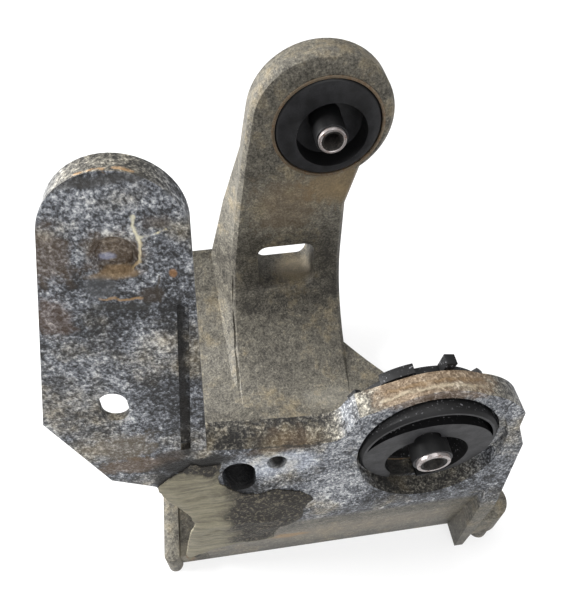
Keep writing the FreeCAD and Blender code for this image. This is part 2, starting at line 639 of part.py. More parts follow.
def cut_seats(body):
    """Bore the seats of both bushes, the funnel in front of the first, and the arm's slot."""
    start = f"({cell('front_stock')} + {cell('overlap')})"
    bore = sketch_on(body, "front_bore", "XZ_Plane", start)
    circle(bore, "0", "0", cell("bush_radius"))
    pocket(body, bore, f"{start} + {cell('wall_back')} + {cell('overlap')}")
    funnel = sketch_on(body, "front_funnel", "XZ_Plane", start)
    circle(funnel, cell("funnel_x"), f"-{cell('funnel_drop')}", cell("funnel_radius"))
    pocket(body, funnel, f"{start} + {cell('funnel_floor')}")
    recess = sketch_on(body, "front_recess", "XZ_Plane", start)
    circle(recess, "0", "0", f"{cell('bush_radius')} + {cell('recess_gap')}")
    pocket(body, recess, f"{start} + {cell('shell_front')}")
    rear = sketch_on(body, "rear_bore", "XZ_Plane", f"{cell('overlap')} - {cell('arm_front')}")
    circle(rear, cell("rear_bush_x"), cell("rear_bush_z"), cell("bush_radius"))
    pocket(body, rear, f"{cell('arm_thickness')} + 2 * {cell('overlap')}")
    slot = sketch_on(body, "arm_slot", "XZ_Plane", f"-{SEAT_Y}")
    outline(slot, rounded_corners(cell("slot_left"), cell("slot_bottom"), cell("slot_right"),
                                  cell("slot_top"), cell("slot_corner")))
    pocket(body, slot)


def make_casting(doc):
    """Build the bracket casting as one body."""
    body = doc.addObject("PartDesign::Body", "bracket_casting")
    add_arm(body)
    add_floor(body)
    add_flare(body)
    add_front_wall(body)
    add_ear(body)
    add_feet(body)
    cut_seats(body)
    return body


def revolve(body, sketch):
    """Turn a sketch of the YZ plane about the bush axis."""
    feature = body.newObject("PartDesign::Revolution", f"{sketch.Name}_turned")
    feature.Profile = sketch
    feature.ReferenceAxis = (sketch, ["H_Axis"])
    feature.Angle = 360
    return feature


def make_tube(doc, name, front, back, inner, outer):
    """Turn a plain steel tube about the bush axis."""
    body = doc.addObject("PartDesign::Body", name)
    section = sketch_on(body, f"{name}_section", "YZ_Plane")
    outline(section, box_corners(front, inner, back, outer))
    revolve(body, section)
    return body


def make_rubber(doc, name, proud, front_radius, shell_front, shell_back, collar):
    """Turn a bush's rubber: a face block, a post round the sleeve, and a collar if it has one."""
    body = doc.addObject("PartDesign::Body", name)
    inside = f"({cell('bush_radius')} - {cell('shell_wall')})"
    post_front = f"({cell('post_short')} - {proud})"
    post_back = f"({cell('sleeve_length')} - {proud} - {cell('post_short')})"
    web_back = f"({cell('diaphragm_front')} + {cell('diaphragm_thickness')})"
    section = sketch_on(body, f"{name}_section", "YZ_Plane")
    corners = [
        (post_front, cell("sleeve_radius")),
        (post_back, cell("sleeve_radius")),
        (post_back, cell("post_radius")),
        (web_back, cell("post_radius")),
        (web_back, cell("face_inner")),
    ]
    if collar:
        corners += [
            (cell("collar_back"), cell("face_inner")),
            (cell("collar_back"), cell("collar_radius")),
            (shell_back, cell("collar_radius")),
            (shell_back, inside),
            (shell_front, inside),
            (shell_front, front_radius),
        ]
    else:
        corners += [
            (shell_back, cell("face_inner")),
            (shell_back, inside),
        ]
    corners += [
        (cell("face_round"), front_radius),
        ("0", f"{front_radius} - {cell('face_round')}"),
        ("0", cell("post_radius")),
        (post_front, cell("post_radius")),
    ]
    outline(section, corners)
    revolve(body, section)
    return body


def open_face(body, x, drop, radius, lobe):
    """Cut the opening into a rubber's face, with its lobe and gap if it has them, and refill the post."""
    name = body.Label
    mouth = sketch_on(body, f"{name}_mouth", "XZ_Plane", cell("overlap"))
    circle(mouth, x, f"-{drop}", radius, "outside")
    circle(mouth, "0", "0", cell("post_radius"), "inside")
    pocket(body, mouth, f"{cell('overlap')} + {cell('diaphragm_front')}")
    if lobe:
        rise = sketch_on(body, f"{name}_lobe", "XZ_Plane", cell("overlap"))
        circle(rise, cell("lobe_x"), cell("lobe_rise"), cell("lobe_radius"))
        pocket(body, rise, f"{cell('overlap')} + {cell('diaphragm_front')}")
        gap = sketch_on(body, f"{name}_gap", "XZ_Plane", cell("overlap"))
        below = f"-({cell('bush_radius')} + {cell('overlap')})"
        outline(gap, box_corners(cell("gap_left"), below, cell("gap_right"), cell("gap_top")))
        pocket(body, gap, f"{cell('overlap')} + {cell('shell_front')}")
    post = sketch_on(body, f"{name}_post", "XZ_Plane", cell("overlap"))
    circle(post, "0", "0", cell("post_radius"), "outside")
    circle(post, "0", "0", cell("sleeve_radius"), "inside")
    pad(body, post, f"{cell('overlap')} + {cell('diaphragm_front')}", reverse=True)


TEETH = [
    ("tooth_1", 147.0, 157.0, 33.0),
    ("tooth_2", 101.0, 126.0, 32.5),
    ("tooth_3", 74.0, 81.0, 36.0),
    ("tooth_4", 38.0, 46.0, 31.6),
]


def add_teeth(body):
    """Raise parts of the collar behind the ring, the third one as a tall horn."""
    tooth = sketch_on(body, "collar_teeth", "XZ_Plane", f"-{cell('tooth_back')}")
    under = f"({cell('collar_radius')} - {cell('overlap')})"
    for name, _, _, _ in TEETH:
        first, last, top = cell(f"{name}_start"), cell(f"{name}_end"), cell(f"{name}_radius")
        outline(tooth, [
            on_circle("0", "0", under, first),
            (*on_circle("0", "0", top, first), bend(top)),
            on_circle("0", "0", top, last),
            (*on_circle("0", "0", under, last), bend(under, left=False)),
        ], name)
    pad(body, tooth, f"{cell('tooth_back')} - {cell('tooth_front')}")


def make_bushes(doc):
    """Build both bushes and set the rear one into the arm's head."""
    bush, wall = cell("bush_radius"), cell("shell_wall")
    inside = f"{bush} - {wall}"
    front = [
        make_tube(doc, "front_bush_shell", cell("shell_front"), cell("shell_back"), inside, bush),
        make_rubber(doc, "front_bush_rubber", cell("front_sleeve_proud"), bush,
                    cell("shell_front"), cell("shell_back"), collar=True),
        make_tube(doc, "front_bush_sleeve", f"-{cell('front_sleeve_proud')}",
                  f"{cell('sleeve_length')} - {cell('front_sleeve_proud')}",
                  cell("sleeve_bore"), cell("sleeve_radius")),
    ]
    open_face(front[1], cell("front_mouth_x"), cell("front_mouth_drop"), cell("front_mouth_radius"), True)
    add_teeth(front[1])
    depth = f"{cell('arm_thickness')} + 2 * {cell('rear_proud')}"
    rear = [
        make_tube(doc, "rear_bush_shell", "0", depth, inside, bush),
        make_rubber(doc, "rear_bush_rubber", cell("rear_sleeve_proud"), inside, "0", depth, collar=False),
        make_tube(doc, "rear_bush_sleeve", f"-{cell('rear_sleeve_proud')}",
                  f"{cell('sleeve_length')} - {cell('rear_sleeve_proud')}",
                  cell("sleeve_bore"), cell("sleeve_radius")),
    ]
    open_face(rear[1], cell("rear_mouth_x"), cell("rear_mouth_drop"), cell("rear_mouth_radius"), False)
    for body in rear:
        body.setExpression("Placement.Base.x", cell("rear_bush_x"))
        body.setExpression("Placement.Base.y", f"{cell('arm_front')} - {cell('rear_proud')}")
        body.setExpression("Placement.Base.z", cell("rear_bush_z"))
    return front + rear


def check(doc, bodies):
    """Stop if any object failed or any solid is missing or unsound."""
    for item in doc.Objects:
        bad = [state for state in item.State if state in ("Invalid", "Error")]
        if bad:
            raise RuntimeError(f"{item.Name} is {bad}")
    for body in bodies:
        shape = body.Shape
        if shape.isNull() or not shape.isValid() or len(shape.Solids) != 1:
            raise RuntimeError(f"{body.Label} is not one sound solid")


def main():
    """Build every node and write one STEP file for each."""
    for name, level, front, back in FLARE:
        SIZES.append((f"{name}_z", level, "height of a section of the arm's flared side"))
        SIZES.append((f"{name}_front", front, "front edge of that section"))
        SIZES.append((f"{name}_back", back, "back edge of that section"))
    for name, first, last, radius in TEETH:
        SIZES.append((f"{name}_start", first, "degrees where a raised part of the collar starts"))
        SIZES.append((f"{name}_end", last, "degrees where it ends"))
        SIZES.append((f"{name}_radius", radius, "radius over it"))
    doc = FreeCAD.newDocument("compressor_bracket")
    make_sheet(doc)
    bodies = [make_casting(doc)] + make_bushes(doc)
    doc.recompute()
    check(doc, bodies)
    os.makedirs("parts", exist_ok=True)
    for body in bodies:
        body.Shape.exportStep(f"parts/{body.Label}.step")
        print(body.Label, round(body.Shape.Volume), body.Shape.BoundBox)


main()
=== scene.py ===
"""A sand-cast compressor bracket with two rubber bushes, dressed and lit for the photograph."""

import json
import logging
import math
from dataclasses import dataclass
from enum import Enum

import bpy
from mathutils import Matrix, Vector, noise

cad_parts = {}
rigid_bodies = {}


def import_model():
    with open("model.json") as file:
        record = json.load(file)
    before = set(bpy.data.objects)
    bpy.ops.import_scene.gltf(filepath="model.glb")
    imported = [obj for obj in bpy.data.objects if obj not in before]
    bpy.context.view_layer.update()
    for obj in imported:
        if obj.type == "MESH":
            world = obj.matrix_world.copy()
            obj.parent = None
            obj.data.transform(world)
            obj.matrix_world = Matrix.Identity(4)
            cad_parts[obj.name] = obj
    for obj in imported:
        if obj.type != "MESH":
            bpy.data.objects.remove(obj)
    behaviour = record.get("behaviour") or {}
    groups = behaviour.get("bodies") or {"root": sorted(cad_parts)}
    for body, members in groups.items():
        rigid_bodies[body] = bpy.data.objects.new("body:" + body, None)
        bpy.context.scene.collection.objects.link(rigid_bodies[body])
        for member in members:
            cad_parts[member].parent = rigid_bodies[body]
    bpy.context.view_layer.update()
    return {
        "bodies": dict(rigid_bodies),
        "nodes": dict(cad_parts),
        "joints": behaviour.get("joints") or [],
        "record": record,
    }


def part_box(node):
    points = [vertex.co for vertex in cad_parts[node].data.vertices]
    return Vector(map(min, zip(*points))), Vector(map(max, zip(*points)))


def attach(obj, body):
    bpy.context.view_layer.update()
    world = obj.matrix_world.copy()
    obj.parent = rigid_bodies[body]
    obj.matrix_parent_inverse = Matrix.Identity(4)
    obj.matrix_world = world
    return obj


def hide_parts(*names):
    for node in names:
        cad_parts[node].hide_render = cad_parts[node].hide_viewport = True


MM = 0.001
LOG = logging.getLogger("bracket")
Tree = bpy.types.NodeTree
Source = bpy.types.Node | bpy.types.NodeSocket
SocketValue = float | tuple[float, ...] | Source
Pair = tuple[float, float]
Point = tuple[float, float, float]
SMOOTH = {"interpolation_type": "SMOOTHSTEP"}
RGBA = {"data_type": "RGBA"}


def linear(hex_colour: str) -> tuple[float, float, float, float]:
    """Turn an sRGB hex colour into linear light.

    Args:
        hex_colour: six hex digits with a leading hash.

    Returns:
        Red, green, blue and an alpha of one.
    """
    parts = [int(hex_colour[i : i + 2], 16) / 255 for i in (1, 3, 5)]
    red, green, blue = (c / 12.92 if c <= 0.04045 else ((c + 0.055) / 1.055) ** 2.4 for c in parts)
    return red, green, blue, 1.0


def features(place: Source, size_mm: float, detail: float, roughness: float = 0.5) -> dict[str, SocketValue]:
    """Give the inputs of a noise whose features are about size_mm across."""
    return {"Vector": place, "Scale": 1 / (size_mm * MM), "Detail": detail, "Roughness": roughness}


def span(ends: Pair) -> dict[str, float]:
    """Give the two ends of a map range, from millimetres."""
    return {"From Min": ends[0] * MM, "From Max": ends[1] * MM}


def add(
    tree: Tree, kind: str, inputs: dict[str | int, SocketValue] | None = None, **settings: str | float | bool
) -> bpy.types.Node:
    """Add one shader node with its settings, values and links.

    Args:
        tree: the node tree that takes the node.
        kind: the node's type without its leading ShaderNode, and after a space its operation.
        inputs: for each named or numbered input a value, a socket, or a node for its first output.
        **settings: properties of the node, such as its blend type.

    Returns:
        The new node.
    """
    kind, _, operation = kind.partition(" ")
    made = tree.nodes.new(f"ShaderNode{kind}")
    if operation:
        made.operation = operation
    for name, value in settings.items():
        setattr(made, name, value)
    for key, value in (inputs or {}).items():
        if isinstance(value, bpy.types.Node):
            value = value.outputs[0]
        if isinstance(value, bpy.types.NodeSocket):
            tree.links.new(value, made.inputs[key])
        else:
            made.inputs[key].default_value = value
    return made


def fresh_material(name: str) -> tuple[bpy.types.Material, Tree]:
    """Start a material whose tree holds nothing yet."""
    material = bpy.data.materials.new(name)
    material.use_nodes = True
    material.node_tree.nodes.clear()
    return material, material.node_tree


@dataclass(frozen=True)
class StainAndPaintedLight:
    """A soft patch of another colour on the casting; some of these patches are painted shade and painted
    light.

    Attributes:
        centre: its middle in millimetres.
        radii: half its size along X, Y and Z in millimetres.
        colour: its sRGB hex colour.
        strength: how much of the skin below it hides.
        ragged: how far noise moves its edge, as a share of its radius.
    """

    centre: Point
    radii: Point
    colour: str
    strength: float = 0.8
    ragged: float = 0.5


@dataclass(frozen=True)
class Tone:
    """A soft patch where the casting's skin is lighter or darker, placed as a stain is. Most vary at random,
    and a few are painted shade and painted light.

    Attributes:
        shift: how far it goes towards white, or below nothing towards black.
    """

    centre: Point
    radii: Point
    shift: float
    ragged: float = 0.5


@dataclass(frozen=True)
class SeamAndPaintedLine:
    """A straight line on the casting: raised flash and rust, dark lines of painted shadow along creases and
    steps, and light lines of painted highlight along edges.

    Attributes:
        start: one end in millimetres.
        end: the other end in millimetres.
        width: half its width in millimetres.
        colour: its sRGB hex colour.
        rise: how far it stands out in millimetres, or below nothing how far it sinks.
        strength: how much of the skin below it hides.
    """

    start: Point
    end: Point
    width: float
    colour: str
    rise: float = 0.2
    strength: float = 0.7


@dataclass(frozen=True)
class Hoop:
    """A line like the straight ones, round the upper half of the ring.

    Attributes:
        centre: the middle of its circle in millimetres.
        radius: its radius in millimetres.
    """

    centre: Point
    radius: float
    width: float
    colour: str
    rise: float = 0.2
    strength: float = 0.6


PATCH_FADE = {"From Min": 1.2, "From Max": 0.6}
RAGGEDNESS = 4
LINE_CORE = 0.25
HOOP_FADE = (6, 20)


def patch_mask(tree: Tree, place: Source, wander: Source, patch: StainAndPaintedLight | Tone, height: float) -> Source:
    """Work out how strongly a patch shows, from 0 outside it to a height at its middle.

    Args:
        tree: the casting's node tree.
        place: Object coordinates.
        wander: noise round nothing that makes the edge ragged.
        patch: the patch.
        height: the value at its middle.

    Returns:
        The mask.
    """
    centre = tuple(c * MM for c in patch.centre)
    spread = tuple(1 / (r * MM) for r in patch.radii)
    off = add(tree, "VectorMath SUBTRACT", {0: place, 1: centre})
    scaled = add(tree, "VectorMath MULTIPLY", {0: off, 1: spread})
    reach = add(tree, "VectorMath LENGTH", {0: scaled})
    rough = add(
        tree, "Math MULTIPLY_ADD", {0: wander, 1: patch.ragged * RAGGEDNESS, 2: reach.outputs["Value"]}
    )
    return add(tree, "MapRange", {"Value": rough, **PATCH_FADE, "To Max": height}, **SMOOTH)


def line_mask(tree: Tree, place: Source, line_mark: SeamAndPaintedLine) -> Source:
    """Work out how near a point is to a straight line, from 0 beside it to 1 on it.

    Args:
        tree: the casting's node tree.
        place: Object coordinates.
        line_mark: the line.

    Returns:
        The mask.
    """
    start = Vector(line_mark.start) * MM
    along = Vector(line_mark.end) * MM - start
    way = tuple(along.normalized())
    off = add(tree, "VectorMath SUBTRACT", {0: place, 1: tuple(start)})
    done = add(tree, "VectorMath DOT_PRODUCT", {0: off, 1: way}).outputs["Value"]
    held = add(tree, "MapRange", {"Value": done, "From Max": along.length, "To Max": along.length})
    nearest = add(tree, "VectorMath SCALE", {0: way, 3: held})
    gap = add(tree, "VectorMath DISTANCE", {0: off, 1: nearest}).outputs["Value"]
    return add(tree, "MapRange", {"Value": gap, **span((line_mark.width, LINE_CORE * line_mark.width))}, **SMOOTH)


def hoop_mask(tree: Tree, place: Source, hoop: Hoop) -> Source:
    """Work out how near a point is to a hoop, from 0 beside it to 1 on it.

    Args:
        tree: the casting's node tree.
        place: Object coordinates.
        hoop: the hoop.

    Returns:
        The mask.
    """
    off = add(tree, "VectorMath SUBTRACT", {0: place, 1: tuple(c * MM for c in hoop.centre)})
    split = add(tree, "SeparateXYZ", {0: off})
    flat = add(tree, "CombineXYZ", {"X": split.outputs["X"], "Z": split.outputs["Z"]})
    reach = add(tree, "VectorMath LENGTH", {0: flat}).outputs["Value"]
    short = add(tree, "Math SUBTRACT", {0: reach, 1: hoop.radius * MM})
    gap = add(tree, "VectorMath LENGTH", {0: add(tree, "CombineXYZ", {"X": short, "Y": split.outputs["Y"]})})
    near = add(
        tree,
        "MapRange",
        {"Value": gap.outputs["Value"], **span((hoop.width, LINE_CORE * hoop.width))},
        **SMOOTH,
    )
    high = add(tree, "MapRange", {"Value": split.outputs["Z"], **span(HOOP_FADE)})
    return add(tree, "Math MULTIPLY", {0: near, 1: high})


@dataclass(frozen=True)
class SandCastAluminium:
    """Aluminium as it leaves a sand mould, years in an engine bay later.

    The mould's sand leaves a granular skin whose tips are painted light grey, both as bare metal and as
    painted glints, and whose pits hold black grime. The ear, the wall and the ring are the dirtiest.
    The arm and the floor were kept wiped by the compressor and show a brown grey with fine ochre dust.
    """

    grey_steps: tuple[tuple[float, str], ...] = (
        (0.10, "#0b0b0c"),
        (0.28, "#2b2c2f"),
        (0.45, "#585b61"),
        (0.62, "#888a8d"),
        (0.90, "#c9cac8"),
    )
    brown_steps: tuple[tuple[float, str], ...] = (
        (0.10, "#12100d"),
        (0.28, "#37332b"),
        (0.45, "#605b4e"),
        (0.62, "#8b8473"),
        (0.90, "#c2bcab"),
    )
    ochre: str = "#86703f"
    metallic: float = 0.25
    roughness: float = 0.6
    dirty_tone: float = 0.38
    wiped_tone: float = 0.38
    dirty_weights: tuple[float, ...] = (0.65, 1.3, 0.85, 0.35)
    wiped_weights: tuple[float, ...] = (0.35, 0.55, 0.4, 0.25)
    grain_mm: float = 1.3
    speck_mm: float = 0.7
    mottle_mm: float = 5.0
    patch_mm: float = 24.0
    sway_mm: float = 3.5
    sway_reach_mm: float = 3.2
    relief_mm: float = 1.0
    mark_overlay: float = 0.6
    wall_lean: float = 0.12
    wall_back_mm: Pair = (36, 27)
    wall_foot_mm: Pair = (-54, -45)
    tones: tuple[Tone, ...] = ()
    stains_and_painted_light: tuple[StainAndPaintedLight, ...] = ()
    seams_and_painted_lines: tuple[SeamAndPaintedLine | Hoop, ...] = ()

    def build(self) -> bpy.types.Material:
        """Make the material."""
        material, tree = fresh_material("sand_cast_aluminium")
        place = add(tree, "TexCoord").outputs["Object"]
        speck = add(tree, "TexNoise", features(place, self.speck_mm, 1.5, 0.6))
        grain = add(tree, "TexNoise", features(place, self.grain_mm, 3.0, 0.65))
        mottle = add(tree, "TexNoise", features(place, self.mottle_mm, 5.0, 0.6))
        patch = add(tree, "TexNoise", features(place, self.patch_mm, 5.0, 0.6))
        both = add(tree, "Math ADD", {0: mottle, 1: patch})
        wander = add(tree, "Math MULTIPLY_ADD", {0: both, 1: 0.5, 2: -0.5})
        front = self.front_share(tree, place)
        up = add(tree, "SeparateXYZ", {0: add(tree, "NewGeometry").outputs["Normal"]}).outputs["Z"]
        tone = self.tone(tree, place, front, (speck, grain, mottle, patch), wander)
        colour = self.coloured(tree, tone, front, up, mottle, patch)
        # Lay on each patch of colour: dirt and rust, painted shade and painted light.
        for mark in self.stains_and_painted_light:
            mask = patch_mask(tree, place, wander, mark, mark.strength)
            over = {0: self.mark_overlay, 6: linear(mark.colour), 7: colour}
            rough = add(tree, "Mix", over, **RGBA, blend_type="OVERLAY")
            colour = add(tree, "Mix", {0: mask, 6: colour, 7: rough.outputs[2]}, **RGBA).outputs[2]
        height = self.height(tree, grain, speck, front)
        sway = add(tree, "TexNoise", features(place, self.sway_mm, 3.0)).outputs["Color"]
        swayed = add(tree, "VectorMath SUBTRACT", {0: sway, 1: (0.5, 0.5, 0.5)})
        wavy = add(tree, "VectorMath MULTIPLY_ADD", {0: swayed, 1: (self.sway_reach_mm * MM,) * 3, 2: place})
        # Draw each line: flash and rust, painted shadow lines and painted highlight lines.
        for line_mark in self.seams_and_painted_lines:
            mask = hoop_mask(tree, wavy, line_mark) if isinstance(line_mark, Hoop) else line_mask(tree, wavy, line_mark)
            worn = add(tree, "Math MULTIPLY", {0: mask, 1: line_mark.strength})
            colour = add(tree, "Mix", {0: worn, 6: colour, 7: linear(line_mark.colour)}, **RGBA).outputs[2]
            height = add(tree, "Math MULTIPLY_ADD", {0: mask, 1: line_mark.rise, 2: height})
        waves = add(tree, "Bump", {"Strength": 0.6, "Distance": self.relief_mm * MM, "Height": mottle})
        relief = add(
            tree,
            "Bump",
            {"Strength": 0.8, "Distance": self.relief_mm * MM, "Height": height, "Normal": waves},
        )
        shader = add(
            tree,
            "BsdfPrincipled",
            {"Base Color": colour, "Metallic": self.metallic, "Roughness": self.roughness, "Normal": relief},
        )
        add(tree, "OutputMaterial", {"Surface": shader})
        return material

    def front_share(self, tree: Tree, place: Source) -> Source:
        """Give 1 on the dirty front wall and ear, falling to 0 behind them and down the lower front."""
        split = add(tree, "SeparateXYZ", {0: place})
        lean = add(
            tree, "Math MULTIPLY_ADD", {0: split.outputs["Z"], 1: -self.wall_lean, 2: split.outputs["Y"]}
        )
        near = add(tree, "MapRange", {"Value": lean, **span(self.wall_back_mm)}, **SMOOTH)
        high = add(tree, "MapRange", {"Value": split.outputs["Z"], **span(self.wall_foot_mm)}, **SMOOTH)
        return add(tree, "Math MULTIPLY", {0: near, 1: high})

    def tone(
        self, tree: Tree, place: Source, front: Source, noises: tuple[Source, ...], wander: Source
    ) -> Source:
        """Work out how light the skin is, from 0 in grime to 1 on a bare tip that carries a painted glint.

        Args:
            tree: the node tree.
            place: Object coordinates.
            front: 1 on the dirty front parts and 0 on the wiped ones.
            noises: speck, grain, mottle and patch noise.
            wander: noise round nothing for the patches' edges.

        Returns:
            The tone.
        """
        total = add(tree, "MapRange", {"Value": front, "To Min": self.wiped_tone, "To Max": self.dirty_tone})
        for source, dirty, wiped in zip(noises, self.dirty_weights, self.wiped_weights):
            weight = add(tree, "MapRange", {"Value": front, "To Min": wiped, "To Max": dirty})
            swing = add(tree, "Math ADD", {0: source, 1: -0.5})
            total = add(tree, "Math MULTIPLY_ADD", {0: swing, 1: weight, 2: total})
        for patch in self.tones:
            mask = patch_mask(tree, place, wander, patch, patch.shift)
            total = add(tree, "Math ADD", {0: total, 1: mask})
        return total

    def coloured(
        self, tree: Tree, tone: Source, front: Source, up: Source, mottle: Source, patch: Source
    ) -> Source:
        """Turn the tone into colour: grey on the front, brown where wiped or dusty, ochre in clouds.

        Args:
            tree: the node tree.
            tone: how light the skin is.
            front: 1 on the dirty front parts and 0 on the wiped ones.
            up: how much the surface faces up.
            mottle: noise of a few millimetres.
            patch: noise of a few centimetres.

        Returns:
            The colour.
        """
        grey, brown = (self.ramp(tree, tone, steps) for steps in (self.grey_steps, self.brown_steps))
        lying = add(tree, "MapRange", {"Value": up, "From Min": 0.45, "From Max": 0.9, "To Max": 0.75})
        clouds = add(tree, "MapRange", {"Value": patch, "From Min": 0.5, "From Max": 0.66, "To Max": 0.6})
        wiped = add(tree, "MapRange", {"Value": front, "To Min": 0.85, "To Max": 0.0})
        share = add(tree, "Math MAXIMUM", {0: lying, 1: clouds})
        share = add(tree, "Math MAXIMUM", {0: share, 1: wiped})
        colour = add(tree, "Mix", {0: share, 6: grey, 7: brown}, **RGBA).outputs[2]
        cloud = add(tree, "Math MULTIPLY_ADD", {0: mottle, 1: 0.6, 2: patch})
        amount = add(tree, "MapRange", {"Value": cloud, "From Min": 0.82, "From Max": 1.0, "To Max": 0.45})
        amount = add(tree, "Math MULTIPLY", {0: amount, 1: share})
        tint = add(
            tree, "Mix", {0: 0.5, 6: colour, 7: linear(self.ochre)}, **RGBA, blend_type="OVERLAY"
        ).outputs[2]
        rusty = add(tree, "Mix", {0: 0.45, 6: tint, 7: linear(self.ochre)}, **RGBA).outputs[2]
        return add(tree, "Mix", {0: amount, 6: colour, 7: rusty}, **RGBA).outputs[2]

    def ramp(self, tree: Tree, tone: Source, steps: tuple[tuple[float, str], ...]) -> Source:
        """Spread a row of colours over the tone."""
        made = add(tree, "ValToRGB", {0: tone})
        stops = made.color_ramp.elements
        stops[0].position, stops[0].color = steps[0][0], linear(steps[0][1])
        stops[1].position, stops[1].color = steps[-1][0], linear(steps[-1][1])
        for position, shade in steps[1:-1]:
            stops.new(position).color = linear(shade)
        return made

    def height(self, tree: Tree, grain: Source, speck: Source, front: Source) -> Source:
        """Give the grain's height in millimetres, strong on the front parts and faint on the wiped ones."""
        tall = add(tree, "MapRange", {"Value": front, "To Min": 0.25, "To Max": 0.8})
        fine = add(tree, "Math MULTIPLY_ADD", {0: speck, 1: 0.4, 2: grain})
        return add(tree, "Math MULTIPLY", {0: fine, 1: tall})


@dataclass(frozen=True)
class MouldedRubber:
    """Carbon-black natural rubber, moulded and bonded to steel.

    It is nearly black, satin where the mould was smooth, and greyed where dust and old release
    agent sit on the face. A faint ripple breaks its highlights, and pale grit lies in its sunk parts.
    """

    name: str = "moulded_rubber"
    body: str = "#0e0e0f"
    bloom: str = "#333335"
    roughness: float = 0.55
    face_mm: float = 1.0
    face_fade_mm: float = 1.0
    ripple_mm: float = 5.0
    ripple_height_mm: float = 0.6
    dust_mm: float = 0.9
    dust_height_mm: float = 0.15
    salt: str = "#77777a"
    salt_mm: float = 0.9
    shine: float = 0.22

    def build(self) -> bpy.types.Material:
        """Make the material."""
        material, tree = fresh_material(self.name)
        place = add(tree, "TexCoord").outputs["Object"]
        ripple = add(tree, "TexNoise", features(place, self.ripple_mm, 4.0))
        dust = add(tree, "TexNoise", features(place, self.dust_mm, 2.0))
        facing = add(
            tree,
            "VectorMath DOT_PRODUCT",
            {0: add(tree, "NewGeometry").outputs["Normal"], 1: (0.0, -1.0, 0.0)},
        )
        open_side = add(
            tree, "MapRange", {"Value": facing.outputs["Value"], "From Min": 0.75, "From Max": 1.0}
        )
        deep = add(tree, "SeparateXYZ", {0: place}).outputs["Y"]
        flush = add(
            tree, "MapRange", {"Value": deep, **span((self.face_mm + self.face_fade_mm, self.face_mm))}
        )
        patchy = add(tree, "MapRange", {"Value": ripple, "From Min": 0.35, "From Max": 0.65, "To Min": 0.35})
        share = add(tree, "Math MULTIPLY", {0: open_side, 1: patchy})
        share = add(tree, "Math MULTIPLY", {0: share, 1: flush})
        speck = add(
            tree,
            "MapRange",
            {"Value": dust, "From Min": 0.35, "From Max": 0.75, "To Min": 0.7, "To Max": 1.2},
        )
        amount = add(tree, "Math MULTIPLY", {0: share, 1: speck})
        colour = add(tree, "Mix", {0: amount, 6: linear(self.body), 7: linear(self.bloom)}, **RGBA)
        grit = add(tree, "TexNoise", features(place, self.salt_mm, 1.0))
        grains = add(tree, "MapRange", {"Value": grit, "From Min": 0.66, "From Max": 0.74, "To Max": 0.7})
        sunk = add(tree, "MapRange", {"Value": flush, "To Min": 1.0, "To Max": 0.0})
        caught = add(tree, "Math MULTIPLY", {0: grains, 1: sunk})
        colour = add(tree, "Mix", {0: caught, 6: colour.outputs[2], 7: linear(self.salt)}, **RGBA)
        waves = add(
            tree, "Bump", {"Strength": 0.35, "Distance": self.ripple_height_mm * MM, "Height": ripple}
        )
        skin = add(
            tree,
            "Bump",
            {"Strength": 0.25, "Distance": self.dust_height_mm * MM, "Height": dust, "Normal": waves},
        )
        shader = add(
            tree,
            "BsdfPrincipled",
            {
                "Base Color": colour.outputs[2],
                "Roughness": self.roughness,
                "Specular IOR Level": self.shine,
                "Normal": skin,
            },
        )
        add(tree, "OutputMaterial", {"Surface": shader})
        return material


@dataclass(frozen=True)
class DrawnSteel:
    """Drawn low-carbon steel tube, once zinc plated, dulled by heat and brown with thin rust.

    Fine pits roughen it, and the larger its share of rust, the more of it is freckled.
    """

    name: str
    metal: str
    rust: str
    rust_share: float
    freckle_mm: float = 2.2
    pit_mm: float = 0.6
    pit_depth_mm: float = 0.12
    rust_ends: Pair = (0.62, 0.75)
    rust_ease: float = 0.3

    def build(self) -> bpy.types.Material:
        """Make the material."""
        material, tree = fresh_material(self.name)
        place = add(tree, "TexCoord").outputs["Object"]
        freckle = add(tree, "TexNoise", features(place, self.freckle_mm, 5.0, 0.7))
        fine = add(tree, "TexNoise", features(place, self.pit_mm, 2.0))
        start, full = (end - self.rust_share * self.rust_ease for end in self.rust_ends)
        amount = add(tree, "MapRange", {"Value": freckle, "From Min": start, "From Max": full})
        colour = add(tree, "Mix", {0: amount, 6: linear(self.metal), 7: linear(self.rust)}, **RGBA)
        rough = add(tree, "MapRange", {"Value": amount, "To Min": 0.38, "To Max": 0.8})
        bare = add(tree, "MapRange", {"Value": amount, "To Min": 0.85, "To Max": 0.1})
        pits = add(tree, "Bump", {"Strength": 0.4, "Distance": self.pit_depth_mm * MM, "Height": fine})
        shader = add(
            tree,
            "BsdfPrincipled",
            {"Base Color": colour.outputs[2], "Metallic": bare, "Roughness": rough, "Normal": pits},
        )
        add(tree, "OutputMaterial", {"Surface": shader})
        return material


